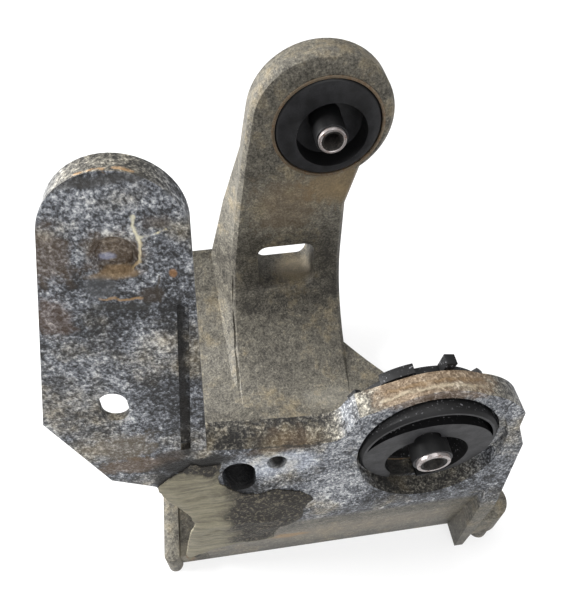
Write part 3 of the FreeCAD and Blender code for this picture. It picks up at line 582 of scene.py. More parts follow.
@dataclass(frozen=True)
class CakedDirt:
    """Road dirt bound by oil: a dull crust, sandy where it dried thick, black in its middle, and darker along
    its top as painted shade below the ear's root.
    """

    sandy: str = "#6f6a59"
    sandy_dark: str = "#4c483c"
    dark: str = "#211e1a"
    pale: str = "#958c77"
    stipple_mm: float = 1.3
    streak_mm: float = 3.5
    streak_turn: float = -20.0
    streak_stretch: Point = (0.18, 1.0, 1.6)
    drift_mm: float = 12.0
    side_wander_mm: float = 22.0
    level_wander_mm: float = 20.0
    # Painted shade: how high up the crust's top turns dark, below the ear's root.
    dark_left_mm: Pair = (-78, -70)
    dark_low_mm: Pair = (-63, -55)
    shaded_top_mm: Pair = (12, 16)
    ridge_mm: float = 0.8
    lump_mm: float = 1.0
    roughness: float = 0.92

    def build(self) -> bpy.types.Material:
        """Make the material."""
        material, tree = fresh_material("caked_dirt")
        place = add(tree, "TexCoord").outputs["Object"]
        stipple = add(tree, "TexNoise", features(place, self.stipple_mm, 3.0, 0.65))
        drift = add(tree, "TexNoise", features(place, self.drift_mm, 5.0))
        fan = add(
            tree,
            "Mapping",
            {
                "Vector": place,
                "Rotation": (0, math.radians(self.streak_turn), 0),
                "Scale": self.streak_stretch,
            },
        )
        streak = add(tree, "TexNoise", features(fan, self.streak_mm, 4.0, 0.7))
        split = add(tree, "SeparateXYZ", {0: place})
        edge = add(tree, "Math MULTIPLY_ADD", {0: drift, 1: self.side_wander_mm * MM, 2: split.outputs["X"]})
        sideways = add(tree, "MapRange", {"Value": edge, **span(self.dark_left_mm)}, **SMOOTH)
        level = add(
            tree, "Math MULTIPLY_ADD", {0: drift, 1: self.level_wander_mm * MM, 2: split.outputs["Z"]}
        )
        above = add(tree, "MapRange", {"Value": level, **span(self.dark_low_mm)}, **SMOOTH)
        inner = add(tree, "Math MULTIPLY", {0: sideways, 1: above})
        # Painted shade: the crust's top, below the ear's root, is darkened as if in shadow.
        top = add(tree, "MapRange", {"Value": level, **span(self.shaded_top_mm)}, **SMOOTH)
        inner = add(tree, "Math MAXIMUM", {0: inner, 1: top})
        lines = add(tree, "MapRange", {"Value": streak, "From Min": 0.35, "From Max": 0.62})
        sand = add(
            tree, "Mix", {0: lines, 6: linear(self.sandy_dark), 7: linear(self.sandy)}, **RGBA
        ).outputs[2]
        crust = add(tree, "Mix", {0: inner, 6: sand, 7: linear(self.dark)}, **RGBA).outputs[2]
        dotted = add(tree, "MapRange", {"Value": stipple, "From Min": 0.5, "From Max": 0.7})
        fleck = add(tree, "MapRange", {"Value": inner, "To Min": 0.12, "To Max": 0.38})
        fleck = add(tree, "Math MULTIPLY", {0: dotted, 1: fleck})
        colour = add(tree, "Mix", {0: fleck, 6: crust, 7: linear(self.pale)}, **RGBA).outputs[2]
        ridges = add(tree, "Bump", {"Strength": 0.5, "Distance": self.ridge_mm * MM, "Height": streak})
        rough = add(tree, "MapRange", {"Value": inner, "To Min": 0.3, "To Max": 1.0})
        lumps = add(
            tree,
            "Bump",
            {"Strength": rough, "Distance": self.lump_mm * MM, "Height": stipple, "Normal": ridges},
        )
        shader = add(
            tree, "BsdfPrincipled", {"Base Color": colour, "Roughness": self.roughness, "Normal": lumps}
        )
        add(tree, "OutputMaterial", {"Surface": shader})
        return material


@dataclass(frozen=True)
class OilyGrime:
    """Old oil and dust packed in a bolt hole: nearly black, with a dull sheen."""

    body: str = "#100e0d"
    grit: str = "#2c2824"
    clot_mm: float = 1.2
    clot_height_mm: float = 0.4
    roughness: float = 0.6
    shine: float = 0.2

    def build(self) -> bpy.types.Material:
        """Make the material."""
        material, tree = fresh_material("oily_grime")
        place = add(tree, "TexCoord").outputs["Object"]
        clots = add(tree, "TexNoise", features(place, self.clot_mm, 3.0))
        share = add(tree, "MapRange", {"Value": clots, "From Min": 0.4, "From Max": 0.7})
        colour = add(tree, "Mix", {0: share, 6: linear(self.body), 7: linear(self.grit)}, **RGBA)
        lumps = add(tree, "Bump", {"Strength": 0.6, "Distance": self.clot_height_mm * MM, "Height": clots})
        shader = add(
            tree,
            "BsdfPrincipled",
            {
                "Base Color": colour.outputs[2],
                "Roughness": self.roughness,
                "Specular IOR Level": self.shine,
                "Normal": lumps,
            },
        )
        add(tree, "OutputMaterial", {"Surface": shader})
        return material


class Finish(Enum):
    """The finishes that the pieces are dressed in."""

    CASTING = "casting"
    RUBBER = "rubber"
    REAR_RUBBER = "rear_rubber"
    SHELL = "shell"
    SLEEVE = "sleeve"
    DIRT = "dirt"
    GRIME = "grime"


class FinishBook:
    """Makes each finish once and hands it to every piece that wears it."""

    def __init__(
        self, tones: tuple[Tone, ...], stains_and_painted_light: tuple[StainAndPaintedLight, ...], seams_and_painted_lines: tuple[SeamAndPaintedLine | Hoop, ...]
    ) -> None:
        """Start with no finish made.

        Args:
            tones: the lighter and darker patches of the casting's skin.
            stains_and_painted_light: its patches of other colours, of which some are painted shade and
                painted light.
            seams_and_painted_lines: its raised and sunk lines, among them painted shadow lines and painted
                highlight lines.
        """
        self.recipes = {
            Finish.CASTING: SandCastAluminium(tones=tones, stains_and_painted_light=stains_and_painted_light, seams_and_painted_lines=seams_and_painted_lines),
            Finish.RUBBER: MouldedRubber(),
            Finish.REAR_RUBBER: MouldedRubber(
                name="oily_moulded_rubber", body="#0d0d0e", bloom="#232325", roughness=0.45, face_mm=200.0
            ),
            Finish.SHELL: DrawnSteel("drawn_steel_shell", "#6f6455", "#54402b", 0.5),
            Finish.SLEEVE: DrawnSteel("drawn_steel_sleeve", "#9d9796", "#5f4a3d", 0.3),
            Finish.DIRT: CakedDirt(),
            Finish.GRIME: OilyGrime(),
        }
        self.made: dict[Finish, bpy.types.Material] = {}

    def dress(self, piece: bpy.types.Object, finish: Finish) -> None:
        """Give a piece one finish all over."""
        piece.data.materials.clear()
        piece.data.materials.append(self.material(finish))

    def material(self, finish: Finish) -> bpy.types.Material:
        """Give a finish's material, made at its first use."""
        if finish not in self.made:
            self.made[finish] = self.recipes[finish].build()
        return self.made[finish]


def activate(piece: bpy.types.Object) -> None:
    """Leave edit mode, deselect everything and make one object the only one selected."""
    if bpy.context.object and bpy.context.object.mode != "OBJECT":
        bpy.ops.object.mode_set(mode="OBJECT")
    bpy.ops.object.select_all(action="DESELECT")
    piece.select_set(True)
    bpy.context.view_layer.objects.active = piece


def apply_modifier(
    piece: bpy.types.Object, kind: str, **settings: float | str | bool | bpy.types.Object
) -> None:
    """Add a modifier to a piece and apply it.

    Args:
        piece: the object.
        kind: the modifier's type.
        **settings: its properties.
    """
    modifier = piece.modifiers.new(kind.lower(), kind)
    for name, value in settings.items():
        setattr(modifier, name, value)
    activate(piece)
    bpy.ops.object.modifier_apply(modifier=modifier.name)


def freeze(piece: bpy.types.Object) -> None:
    """Move a piece's place, turn and scale into its mesh."""
    activate(piece)
    bpy.ops.object.transform_apply(location=True, rotation=True, scale=True)


WELD = 0.004 * MM
FINE_WELD = 0.001 * MM
FLAT_ANGLE = math.radians(0.6)
EDGE_ANGLE = math.radians(32)
SMOOTH_ANGLE = math.radians(38)
DIRT_ANGLE = math.radians(60)
EDGE_FACES = 2


def merged_copy(node: bpy.types.Object, name: str, edge_mm: float) -> bpy.types.Object:
    """Copy a solid of the frame, weld its triangles and take the sharpness off its edges.

    Args:
        node: the solid of the frame.
        name: the new piece's name.
        edge_mm: how far each edge is broken.

    Returns:
        The new piece, in the same place.
    """
    piece = bpy.data.objects.new(name, node.data.copy())
    bpy.context.scene.collection.objects.link(piece)
    activate(piece)
    bpy.ops.mesh.customdata_custom_splitnormals_clear()
    bpy.ops.object.mode_set(mode="EDIT")
    bpy.ops.mesh.select_all(action="SELECT")
    bpy.ops.mesh.remove_doubles(threshold=WELD)
    bpy.ops.mesh.dissolve_limited(angle_limit=FLAT_ANGLE)
    bpy.ops.object.mode_set(mode="OBJECT")
    apply_modifier(
        piece,
        "BEVEL",
        width=edge_mm * MM,
        segments=EDGE_FACES,
        limit_method="ANGLE",
        angle_limit=EDGE_ANGLE,
        use_clamp_overlap=True,
    )
    apply_modifier(piece, "TRIANGULATE")
    bpy.ops.object.shade_smooth_by_angle(angle=SMOOTH_ANGLE)
    return piece


class SubAssembly:
    """What every group of pieces shares: the frame, the finishes and the way a piece joins the object."""

    def __init__(self, frame: dict, finishes: FinishBook) -> None:
        """Keep the frame and the finishes.

        Args:
            finishes: the finishes to dress pieces in.
        """
        self.nodes = frame["nodes"]
        self.finishes = finishes

    def join(self, piece: bpy.types.Object, finish: Finish, slot: str, *nodes: str) -> None:
        """Dress a piece, fix it to the object and let it stand for solids of the frame."""
        self.finishes.dress(piece, finish)
        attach(piece, "root")
        if nodes:
            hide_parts(*nodes)
        LOG.info("%s: %d faces", piece.name, len(piece.data.polygons))


@dataclass(frozen=True)
class CastingSizes:
    """Sizes of what is added to the casting, in millimetres."""

    edge: float = 1.0


class Casting(SubAssembly):
    """The bracket's one casting with its broken edges."""

    sizes = CastingSizes()

    def build(self) -> None:
        """Build and dress the casting."""
        body = merged_copy(self.nodes["bracket_casting"], "casting_skin", self.sizes.edge)
        self.join(body, Finish.CASTING, "cast_aluminium", "bracket_casting")


@dataclass(frozen=True)
class BushSizes:
    """Sizes of what is worked into a bush's pieces, in millimetres.

    The sink is a step down in the front rubber's face, between its outer lip and an oval.
    """

    shell_edge: float = 0.25
    rubber_edge: float = 0.6
    sleeve_edge: float = 0.35
    mouth: float = 1.2
    sink_depth: float = 5.0
    sink_radius: float = 26.3
    oval: Pair = (27.6, 23.4)
    oval_drop: float = 4.4
    oval_sides: int = 72
    rim_depth: float = 0.2
    inward_share: float = 0.2


class Bush(SubAssembly):
    """One rubber bush: a steel shell, its rubber and the bolt's sleeve."""

    sizes = BushSizes()

    def __init__(self, frame: dict, finishes: FinishBook, name: str, rubber: Finish) -> None:
        """Keep which of the two bushes this is.

        Args:
            finishes: the finishes to dress pieces in.
            name: the bush's name, with which its solids' names start.
            rubber: the finish of its rubber.
        """
        super().__init__(frame, finishes)
        self.name = name
        self.rubber = rubber

    def build(self) -> None:
        """Build and dress the three pieces."""
        shell = self.copied("shell", self.sizes.shell_edge)
        self.join(shell, Finish.SHELL, "bush_steel", f"{self.name}_shell")
        rubber = self.copied("rubber", self.sizes.rubber_edge)
        if self.rubber is Finish.RUBBER:
            self.sink(rubber)
        self.join(rubber, self.rubber, "bush_rubber", f"{self.name}_rubber")
        sleeve = self.copied("sleeve", self.sizes.sleeve_edge)
        self.join(sleeve, Finish.SLEEVE, "sleeve_steel", f"{self.name}_sleeve")
        self.blacken_bore(sleeve)

    def copied(self, part: str, edge: float) -> bpy.types.Object:
        """Copy one of the bush's solids with its edges broken."""
        node = f"{self.name}_{part}"
        return merged_copy(self.nodes[node], f"{node}_shown", edge)

    def sink(self, rubber: bpy.types.Object) -> None:
        """Cut the sunk crescent into the top of the rubber's face."""
        sizes = self.sizes
        cutter = self.disc("sink_cutter", (sizes.sink_radius, sizes.sink_radius), 0.0, 2 * sizes.sink_depth)
        kept = self.disc("sink_oval", sizes.oval, -sizes.oval_drop, 4 * sizes.sink_depth)
        apply_modifier(cutter, "BOOLEAN", operation="DIFFERENCE", object=kept, solver="EXACT")
        apply_modifier(rubber, "BOOLEAN", operation="DIFFERENCE", object=cutter, solver="EXACT")
        for tool in (cutter, kept):
            bpy.data.objects.remove(tool)
        activate(rubber)
        bpy.ops.object.shade_smooth_by_angle(angle=SMOOTH_ANGLE)

    def disc(self, name: str, radii: Pair, level: float, depth: float) -> bpy.types.Object:
        """Make an oval disc round the front bush's axis, level with its face.

        Args:
            name: the disc's name.
            radii: half its width and half its height, in millimetres.
            level: the height of its middle, in millimetres.
            depth: its thickness, in millimetres.

        Returns:
            The disc.
        """
        bpy.ops.object.select_all(action="DESELECT")
        bpy.ops.mesh.primitive_cylinder_add(
            vertices=self.sizes.oval_sides,
            radius=1,
            depth=1,
            location=(0, 0, level * MM),
            rotation=(math.pi / 2, 0, 0),
        )
        disc = bpy.context.object
        disc.name = name
        disc.scale = (radii[0] * MM, radii[1] * MM, depth * MM)
        freeze(disc)
        return disc

    def blacken_bore(self, sleeve: bpy.types.Object) -> None:
        """Widen the mouths of the sleeve's bore and put grime on its inside."""
        sleeve.data.materials.append(self.finishes.material(Finish.GRIME))
        low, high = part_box(f"{self.name}_sleeve")
        middle = ((low[0] + high[0]) / 2, (low[2] + high[2]) / 2)
        away = [math.dist((v.co.x, v.co.z), middle) for v in sleeve.data.vertices]
        inside = min(away) + self.sizes.mouth * MM
        outside = max(away)
        for vertex, reach in zip(sleeve.data.vertices, away):
            end = min(vertex.co.y - low[1], high[1] - vertex.co.y)
            if reach < (min(away) + outside) / 2 and end < self.sizes.rim_depth * MM:
                grow = inside / reach
                vertex.co.x = middle[0] + (vertex.co.x - middle[0]) * grow
                vertex.co.z = middle[1] + (vertex.co.z - middle[1]) * grow
        for face in sleeve.data.polygons:
            inward = face.normal.x * (middle[0] - face.center.x) + face.normal.z * (middle[1] - face.center.z)
            reach = math.dist((face.center.x, face.center.z), middle)
            face.material_index = int(inward > self.sizes.inward_share * reach)


@dataclass(frozen=True)
class DirtSizes:
    """The caked dirt's outline, seen from the front, and its thickness, in millimetres."""

    outline: tuple[Pair, ...] = (
        (-110.6, -0.5), (-105.8, 3.8), (-98.8, 8.2), (-95.1, 12.2), (-90.4, 9.0), (-86.3, 9.0),
        (-82.1, 9.2), (-83.7, 4.8), (-84.9, -2.6), (-81.6, -6.9), (-76.6, -12.3), (-69.9, -14.5),
        (-63.6, -11.9), (-58.8, -14.2), (-52.6, -16.4), (-48.0, -20.5), (-46.2, -24.7), (-49.1, -27.2),
        (-51.3, -31.9), (-51.3, -41.0), (-54.5, -48.6), (-57.5, -51.6), (-61.3, -54.2), (-63.6, -63.2),
        (-63.5, -74.4), (-71.7, -75.6), (-80.5, -74.9), (-89.1, -79.0), (-100.6, -88.7), (-107.2, -100.9),
        (-110.0, -105.0), (-109.8, -86.7), (-106.2, -62.0), (-102.4, -41.2), (-99.4, -30.5), (-100.5, -24.2),
        (-103.5, -18.3), (-107.0, -12.6), (-109.4, -6.9),
    )
    front: tuple[Pair, ...] = (
        (-112, 3.0), (-97, 3.0), (-80, -0.3), (-60, -2.8), (-46, -4.5), (-34, -6.0),
        (-22.6, -4.0), (-14.3, -2.5), (-5, -0.9), (10, 1.9), (20, 3.5),
    )
    step: float = 0.9
    thin: float = 0.3
    thick: float = 1.7
    slope: float = 7.0
    backing: float = 1.6
    lump: float = 9.0
    lump_height: float = 0.8
    lump_seed: float = 3.0
    lump_fractal: tuple[float, float, int] = (0.9, 2.1, 4)


class Dirt(SubAssembly):
    """The cake of road dirt that hangs between the front wall's corner and the foot."""

    sizes = DirtSizes()

    def build(self) -> None:
        """Lay a fine grid over the dirt's outline, raise it and give it a back."""
        sizes = self.sizes
        across = [p[0] for p in sizes.outline]
        tall = [p[1] for p in sizes.outline]
        width, height = max(across) - min(across), max(tall) - min(tall)
        middle = ((max(across) + min(across)) / 2 * MM, 0.0, (max(tall) + min(tall)) / 2 * MM)
        bpy.ops.object.select_all(action="DESELECT")
        bpy.ops.mesh.primitive_grid_add(
            x_subdivisions=int(width / sizes.step),
            y_subdivisions=int(height / sizes.step),
            size=1,
            location=middle,
            rotation=(math.pi / 2, 0, 0),
        )
        piece = bpy.context.object
        piece.name = "caked_dirt"
        piece.scale = (width * MM, height * MM, 1)
        freeze(piece)
        self.trim(piece)
        for vertex in piece.data.vertices:
            vertex.co.y = self.depth(vertex.co.x / MM, vertex.co.z / MM) * MM
        apply_modifier(piece, "SMOOTH", factor=0.5, iterations=3)
        apply_modifier(piece, "SOLIDIFY", thickness=sizes.backing * MM, offset=-1.0)
        self.face_outwards(piece)
        bpy.ops.object.shade_smooth_by_angle(angle=DIRT_ANGLE)
        self.join(piece, Finish.DIRT, "cast_aluminium")

    def trim(self, piece: bpy.types.Object) -> None:
        """Delete the grid's points outside the outline and even out the cut."""
        activate(piece)
        bpy.ops.object.mode_set(mode="EDIT")
        bpy.ops.mesh.select_all(action="DESELECT")
        bpy.ops.object.mode_set(mode="OBJECT")
        for vertex in piece.data.vertices:
            vertex.select = not self.inside(vertex.co.x / MM, vertex.co.z / MM)
        bpy.ops.object.mode_set(mode="EDIT")
        bpy.ops.mesh.delete(type="VERT")
        bpy.ops.mesh.select_all(action="SELECT")
        bpy.ops.mesh.region_to_loop()
        bpy.ops.mesh.vertices_smooth(factor=0.5, repeat=2)
        bpy.ops.object.mode_set(mode="OBJECT")

    def inside(self, x: float, z: float) -> bool:
        """Say whether a point seen from the front lies in the outline.

        Args:
            x: across, in millimetres.
            z: height, in millimetres.

        Returns:
            True inside.
        """
        count = 0
        for (x0, z0), (x1, z1) in zip(self.sizes.outline, self.sizes.outline[1:] + self.sizes.outline[:1]):
            if (z0 > z) != (z1 > z) and x < x0 + (z - z0) * (x1 - x0) / (z1 - z0):
                count += 1
        return count % 2 == 1

    def edge_distance(self, x: float, z: float) -> float:
        """Measure how far a point is from the outline, in millimetres."""
        best = math.inf
        point = Vector((x, z))
        for start, end in zip(self.sizes.outline, self.sizes.outline[1:] + self.sizes.outline[:1]):
            run = Vector(end) - Vector(start)
            share = min(max((point - Vector(start)).dot(run) / run.length_squared, 0.0), 1.0)
            best = min(best, (Vector(start) + run * share - point).length)
        return best

    def depth(self, x: float, z: float) -> float:
        """Work out where the crust's surface lies, in millimetres along Y.

        Args:
            x: across, in millimetres.
            z: height, in millimetres.

        Returns:
            The wall's own depth there less the crust's thickness.
        """
        sizes = self.sizes
        wall = sizes.front[-1][1]
        for (z0, y0), (z1, y1) in zip(sizes.front, sizes.front[1:]):
            if z0 <= z <= z1:
                wall = y0 + (y1 - y0) * (z - z0) / (z1 - z0)
        rise = min(self.edge_distance(x, z) / sizes.slope, 1.0)
        cake = sizes.thin + (sizes.thick - sizes.thin) * rise * (2 - rise)
        spot = Vector((x, z, sizes.lump_seed)) / sizes.lump
        lumps = noise.fractal(spot, *sizes.lump_fractal) * sizes.lump_height * rise
        return wall - cake - lumps

    def face_outwards(self, piece: bpy.types.Object) -> None:
        """Turn every face of a closed piece outwards."""
        activate(piece)
        bpy.ops.object.mode_set(mode="EDIT")
        bpy.ops.mesh.select_all(action="SELECT")
        bpy.ops.mesh.remove_doubles(threshold=FINE_WELD)
        bpy.ops.mesh.normals_make_consistent(inside=False)
        bpy.ops.object.mode_set(mode="OBJECT")


@dataclass(frozen=True)
class Lamp:
    """One soft lamp: its name, its place, what it faces and its side in metres, and its watts."""

    name: str
    place: Point
    target: Point
    size: float
    power: float


@dataclass(frozen=True)
class StudioSizes:
    """The photograph's view and the light.

    The camera's place, turn and length of lens were worked out from both bushes' faces.
    """

    place: Point = (-73.4, -101.2, 225.0)
    yaw: float = 7.8
    pitch: float = 50.3
    roll: float = -0.4
    lens: float = 35.526
    sensor: float = 36.0
    nearest: float = 0.01
    floor_level: float = -106.5
    floor_size: float = 6.0
    floor_glow: float = 0.72
    world_strength: float = 0.42
    lamps: tuple[Lamp, ...] = (
        Lamp("key_lamp", (-1.05, 0.3, 0.5), (-0.03, 0.08, 0.0), 0.6, 42.0),
        Lamp("front_lamp", (0.1, -0.9, 0.8), (-0.03, 0.08, -0.03), 0.9, 11.0),
        Lamp("top_lamp", (0.1, 0.3, 1.2), (-0.03, 0.08, -0.03), 0.7, 9.0),
    )


class Studio:
    """The floor, the light and the camera."""

    sizes = StudioSizes()

    def build(self) -> None:
        """Set up floor, world, lamps and camera."""
        self.floor()
        self.world()
        for lamp in self.sizes.lamps:
            self.hang(lamp)
        self.camera()

    def floor(self) -> None:
        """Lay the plain pale floor."""
        bpy.ops.mesh.primitive_plane_add(
            size=self.sizes.floor_size, location=(0, 0, self.sizes.floor_level * MM)
        )
        ground = bpy.context.object
        ground.name = "floor"
        material, tree = fresh_material("pale_paper")
        rays = add(tree, "LightPath")
        matt = add(tree, "BsdfDiffuse", {"Color": (0.86, 0.86, 0.86, 1.0)})
        shine = add(tree, "Emission", {"Color": (1.0, 1.0, 1.0, 1.0), "Strength": 1.0})
        seen = add(tree, "Math MAXIMUM", {0: rays.outputs["Is Camera Ray"], 1: rays.outputs["Is Glossy Ray"]})
        seen = add(tree, "Math MAXIMUM", {0: seen, 1: rays.outputs["Is Transmission Ray"]})
        share = add(tree, "Math MULTIPLY", {0: seen, 1: self.sizes.floor_glow})
        mixed = add(tree, "MixShader", {0: share, 1: matt, 2: shine})
        add(tree, "OutputMaterial", {"Surface": mixed})
        ground.data.materials.append(material)

    def world(self) -> None:
        """Light evenly from all sides and show white to the camera."""
        world = bpy.data.worlds.new("studio")
        bpy.context.scene.world = world
        world.use_nodes = True
        tree = world.node_tree
        tree.nodes.clear()
        rays = add(tree, "LightPath")
        seen = add(
            tree, "Math MAXIMUM", {0: rays.outputs["Is Camera Ray"], 1: rays.outputs["Is Transmission Ray"]}
        )
        soft = add(tree, "Background", {"Color": (1.0, 1.0, 1.0, 1.0), "Strength": self.sizes.world_strength})
        white = add(tree, "Background", {"Color": (1.0, 1.0, 1.0, 1.0), "Strength": 1.0})
        mixed = add(tree, "MixShader", {0: seen, 1: soft, 2: white})
        add(tree, "OutputWorld", {"Surface": mixed})

    def hang(self, plan: Lamp) -> None:
        """Hang one soft lamp."""
        bpy.ops.object.light_add(type="AREA", location=plan.place)
        lamp = bpy.context.object
        lamp.name = plan.name
        lamp.data.energy = plan.power
        lamp.data.size = plan.size
        aim = Vector(plan.target) - Vector(plan.place)
        lamp.rotation_euler = aim.to_track_quat("-Z", "Y").to_euler()

    def camera(self) -> None:
        """Stand the camera where the photograph was taken."""
        sizes = self.sizes
        yaw, pitch, roll = (math.radians(a) for a in (sizes.yaw, sizes.pitch, sizes.roll))
        ahead = Vector((math.sin(yaw) * math.cos(pitch), math.cos(yaw) * math.cos(pitch), -math.sin(pitch)))
        level = Vector((math.cos(yaw), -math.sin(yaw), 0))
        upward = level.cross(ahead)
        right = math.cos(roll) * level + math.sin(roll) * upward
        top = -math.sin(roll) * level + math.cos(roll) * upward
        data = bpy.data.cameras.new("photo_camera")
        data.lens = sizes.lens
        data.sensor_width = sizes.sensor
        data.clip_start = sizes.nearest
        camera = bpy.data.objects.new("photo_camera", data)
        bpy.context.scene.collection.objects.link(camera)
        turn = Matrix((right, top, -ahead)).transposed().to_4x4()
        turn.translation = Vector(sizes.place) * MM
        camera.matrix_world = turn
        bpy.context.scene.camera = camera
        bpy.context.scene.view_settings.view_transform = "Standard"


TONES = (
    Tone((-103, 21, 120), (26, 14, 13), 0.07),
    Tone((-104, 14, 84), (18, 10, 9), -0.10),
    Tone((-99, 13, 74), (9, 8, 12), 0.10, 0.8),
    Tone((-116, 10, 60), (13, 9, 16), 0.07),
    Tone((-100, 9, 52), (9, 8, 12), -0.10),
    Tone((-110, 7, 40), (16, 9, 10), 0.07),
    Tone((-100, 6, 36), (8, 8, 9), -0.06),
    # Painted shade: darker down the groove beside the ear.
    Tone((-89, 14, 70), (6, 14, 50), -0.05),
    # Painted light: lighter on the bright ledge round the boss hole on the front wall.
    Tone((-62, 1, 3), (20, 8, 10), 0.22, 0.3),
    # Painted shade: darker on the wall's upward-facing top band.
    Tone((-64, 10, 14), (28, 16, 6), -0.12, 0.3),
    Tone((-33, 4, 6), (10, 20, 26), 0.06),
    Tone((8, 8, 20), (52, 20, 56), 0.09, 0.2),
    Tone((-38, -3, -22), (16, 8, 16), 0.20, 0.5),
    Tone((-10, 0, -80), (70, 10, 18), 0.06),
    Tone((-18, 88, -97), (20, 14, 8), 0.04, 0.9),
    Tone((-35, 150, 0), (40, 30, 24), 0.04),
    # Painted shade: darker on the middle of the arm.
    Tone((-30, 150, -45), (44, 40, 34), -0.07, 0.4),
    # Painted shade: darker on the floor of the recess round the front bush.
    Tone((-6, -2, -30), (34, 9, 14), -0.10, 0.2),
)


STAINS_AND_PAINTED_LIGHT = (
    StainAndPaintedLight((-5, 148, 16), (30, 12, 13), "#94805f", 0.75, 0.8),
    StainAndPaintedLight((-36, 150, 6), (20, 16, 20), "#86735a", 0.45, 0.9),
    StainAndPaintedLight((-103, 21, 108), (9, 8, 8), "#6b5233", 0.6, 0.8),
    StainAndPaintedLight((-105.8, 21.8, 105.4), (2.6, 3, 1.6), "#b4bcc6", 0.7, 0.7),
    StainAndPaintedLight((-90, 20.5, 116.5), (4.5, 4, 2.2), "#3f2f22", 0.6, 1.0),
    StainAndPaintedLight((-104, 19, 101.2), (8, 4, 1.8), "#a08560", 0.75, 0.5),
    StainAndPaintedLight((-109, 17, 97.5), (5, 6, 4.0), "#4c4d4f", 0.85, 0.3),
    StainAndPaintedLight((-88.4, 17.6, 99.8), (1.2, 2, 1.6), "#a8763f", 0.8, 0.3),
    StainAndPaintedLight((-96, 15.5, 93), (4, 4, 3), "#4b3a25", 0.6, 0.6),
    StainAndPaintedLight((-122, 19, 111), (8, 8, 10), "#6b5233", 0.5, 0.8),
    StainAndPaintedLight((-125, 15, 88), (6, 8, 8), "#6d4c2a", 0.45, 0.8),
    StainAndPaintedLight((-120, 5, 26), (16, 6, 7), "#9b8b70", 0.45, 1.0),
    StainAndPaintedLight((-113, 2.5, 14), (16, 5, 4.0), "#7a5f3f", 0.6, 0.9),
    StainAndPaintedLight((-101, 3, 17), (7, 5, 4), "#3b2c1d", 0.8, 0.5),
    # Painted shade: near-black patches at the ear's root, where the wall lies in shadow.
    StainAndPaintedLight((-96, 2.5, 10), (14, 6, 4.5), "#15120e", 0.95, 0.5),
    StainAndPaintedLight((-106, 1, 3), (6, 6, 5), "#1a1713", 0.9, 0.6),
    StainAndPaintedLight((-86, 2, 11), (7, 5, 4), "#14110d", 0.9, 0.5),
    # Painted light: a pale grey patch on the same bright ledge.
    StainAndPaintedLight((-60, 2, 3), (17, 7, 8.0), "#a7aebb", 0.55, 0.5),
    # Painted shade: near black inside the core hole in the front wall.
    StainAndPaintedLight((-77, 6, -11), (9, 12, 9), "#0f1014", 0.97, 0.15),
    # Painted shade: near black behind the notch at the bottom of the front bush's rubber.
    StainAndPaintedLight((-8, 6, -23), (13, 16, 10), "#0c0c0d", 0.97, 0.1),
    StainAndPaintedLight((-30, 158, -55), (14, 12, 4), "#a99c84", 0.6, 0.6),
    # Painted shade: near black inside the bolt hole in the front wall's boss.
    StainAndPaintedLight((-61.3, 6, -0.2), (3.6, 6, 3.6), "#141312", 0.95, 0.1),
    StainAndPaintedLight((-60, 4, 12.5), (18, 8, 2.5), "#6e5433", 0.45, 0.7),
    StainAndPaintedLight((0, 12, 30), (30, 12, 5), "#9b7d5c", 0.55, 0.7),
    StainAndPaintedLight((-20, -1, -78), (50, 6, 12), "#8a8070", 0.5, 0.8),
    StainAndPaintedLight((-57, -0.7, -77), (10, 6, 4), "#a5875c", 0.8, 0.6),
    StainAndPaintedLight((-18, 86, -97), (16, 7, 5), "#a3a097", 0.35, 1.0),
    # Painted light: a pale patch on the foot's lit left face.
    StainAndPaintedLight((-110, 4, -96), (5, 6, 10), "#b4ad9c", 0.5, 0.5),
    StainAndPaintedLight((-108, 2.5, -96), (2.5, 3, 12), "#8f6f45", 0.6, 0.6),
    StainAndPaintedLight((-106, 3, -97), (3, 4, 4), "#1d1a16", 0.85, 0.6),
    StainAndPaintedLight((-9, 150, 100), (40, 12, 8), "#8c8a85", 0.4, 0.5),
)


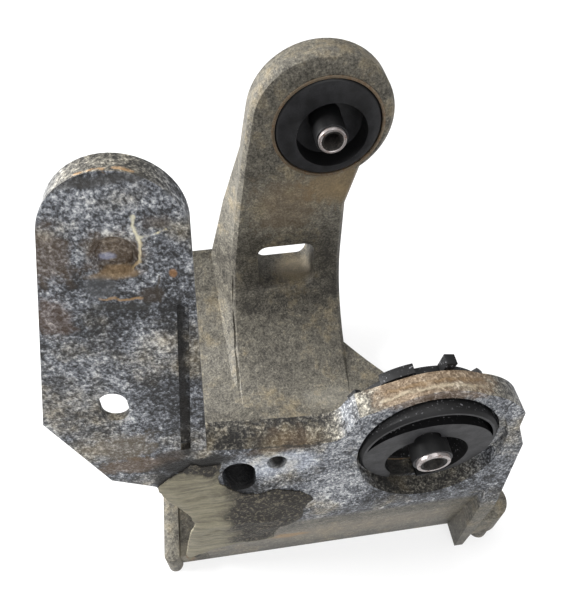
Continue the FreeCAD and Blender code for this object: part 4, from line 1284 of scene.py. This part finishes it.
SEAMS_AND_PAINTED_LINES = (
    SeamAndPaintedLine((-116, 23.6, 132.2), (-94, 25.0, 131.4), 1.0, "#96754d", 0.3, 0.75),
    # Painted shadow: a dark line under the rim of the ear's crown.
    SeamAndPaintedLine((-118, 22.6, 129.6), (-92, 23.0, 130.2), 2.4, "#2a2825", -0.4, 0.75),
    SeamAndPaintedLine((-96.2, 21.0, 119.0), (-96.3, 20.2, 114.4), 0.9, "#c9c4ad", 0.5),
    SeamAndPaintedLine((-96.3, 20.2, 114.4), (-95.4, 19.6, 111.4), 0.9, "#cfc8ad", 0.5),
    SeamAndPaintedLine((-95.4, 19.6, 111.4), (-97.1, 18.5, 104.6), 0.9, "#beb295", 0.5),
    SeamAndPaintedLine((-97.1, 18.5, 104.6), (-98.9, 18.6, 102.5), 0.8, "#a18b66", 0.4),
    SeamAndPaintedLine((-95.1, 19.8, 112.3), (-90.4, 20.0, 113.4), 0.8, "#d3cdb4", 0.5, 0.6),
    SeamAndPaintedLine((-90.4, 20.0, 113.4), (-87.6, 20.1, 114.2), 0.6, "#c2b89a", 0.4, 0.7),
    SeamAndPaintedLine((-110.5, 16.5, 93.4), (-98.6, 16.2, 91.8), 0.8, "#8d6f49", 0.3, 0.7),
    # Painted shadow: a dark line under the ridge where the ear's face steps down.
    SeamAndPaintedLine((-112.0, 15.8, 90.6), (-97.5, 15.6, 88.9), 2.0, "#24231f", -0.2, 0.6),
    SeamAndPaintedLine((-92.7, 17.6, 99.7), (-94.0, 15.9, 90.0), 0.7, "#2c241a", -0.3, 0.8),
    # Painted shade: near-black lines down the groove beside the ear and into its corner with the wall.
    SeamAndPaintedLine((-89.5, 17.9, 84.0), (-91.3, 14.8, 66.6), 3.4, "#0b0a09", -0.3, 0.95),
    SeamAndPaintedLine((-91.3, 14.8, 66.6), (-93.3, 10.6, 42.8), 3.0, "#100d0a", -0.3, 0.85),
    SeamAndPaintedLine((-93.3, 10.6, 42.8), (-95.1, 4.1, 17.6), 3.6, "#120e0a", -0.3, 0.95),
    SeamAndPaintedLine((-94, 9, 14), (-89, 5, 14.0), 3.0, "#14100c", -0.2, 0.8),
    # Painted highlight: a light line down the right edge of the ear's rib.
    SeamAndPaintedLine((-84.6, 22.0, 107.0), (-83.6, 15.5, 60.0), 0.6, "#a09681", 0.2, 0.6),
    SeamAndPaintedLine((-83.6, 15.5, 60.0), (-86.0, 13.0, 20.0), 0.6, "#a29a86", 0.2, 0.6),
    # Painted shadow: a dark line along the crease where the wall's top band meets its face, curving up the
    # ring.
    SeamAndPaintedLine((-88.5, 3.5, 19.7), (-68.2, 2.7, 14.8), 1.0, "#1f1c17", -0.4, 0.8),
    SeamAndPaintedLine((-68.2, 2.7, 14.8), (-45.0, 2.1, 11.6), 1.0, "#1f1c17", -0.4, 0.8),
    SeamAndPaintedLine((-45.0, 2.1, 11.6), (-38.0, 4.5, 14.0), 1.0, "#2b2721", -0.4, 0.7),
    SeamAndPaintedLine((-38.0, 4.5, 14.0), (-34.5, 6.7, 18.2), 1.0, "#3a342b", -0.4, 0.6),
    Hoop((0, 8.5, -1.7), 35.4, 1.3, "#a79c86", 0.7, 0.5),
    Hoop((0, 11.0, -1.7), 35.4, 1.3, "#6a553a", -0.6, 0.7),
    SeamAndPaintedLine((-86.8, 22.3, 124.7), (-86.6, 22.3, 124.5), 1.4, "#1b1b1c", 0.6, 0.7),
)


def main() -> None:
    """Build every piece in order."""
    logging.basicConfig(level=logging.INFO, format="%(message)s")
    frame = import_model()
    finishes = FinishBook(TONES, STAINS_AND_PAINTED_LIGHT, SEAMS_AND_PAINTED_LINES)
    for group in (
        Casting(frame, finishes),
        Bush(frame, finishes, "front_bush", Finish.RUBBER),
        Bush(frame, finishes, "rear_bush", Finish.REAR_RUBBER),
        Dirt(frame, finishes),
    ):
        LOG.info("building %s", type(group).__name__)
        group.build()
    Studio().build()


if __name__ == "__main__":
    main()
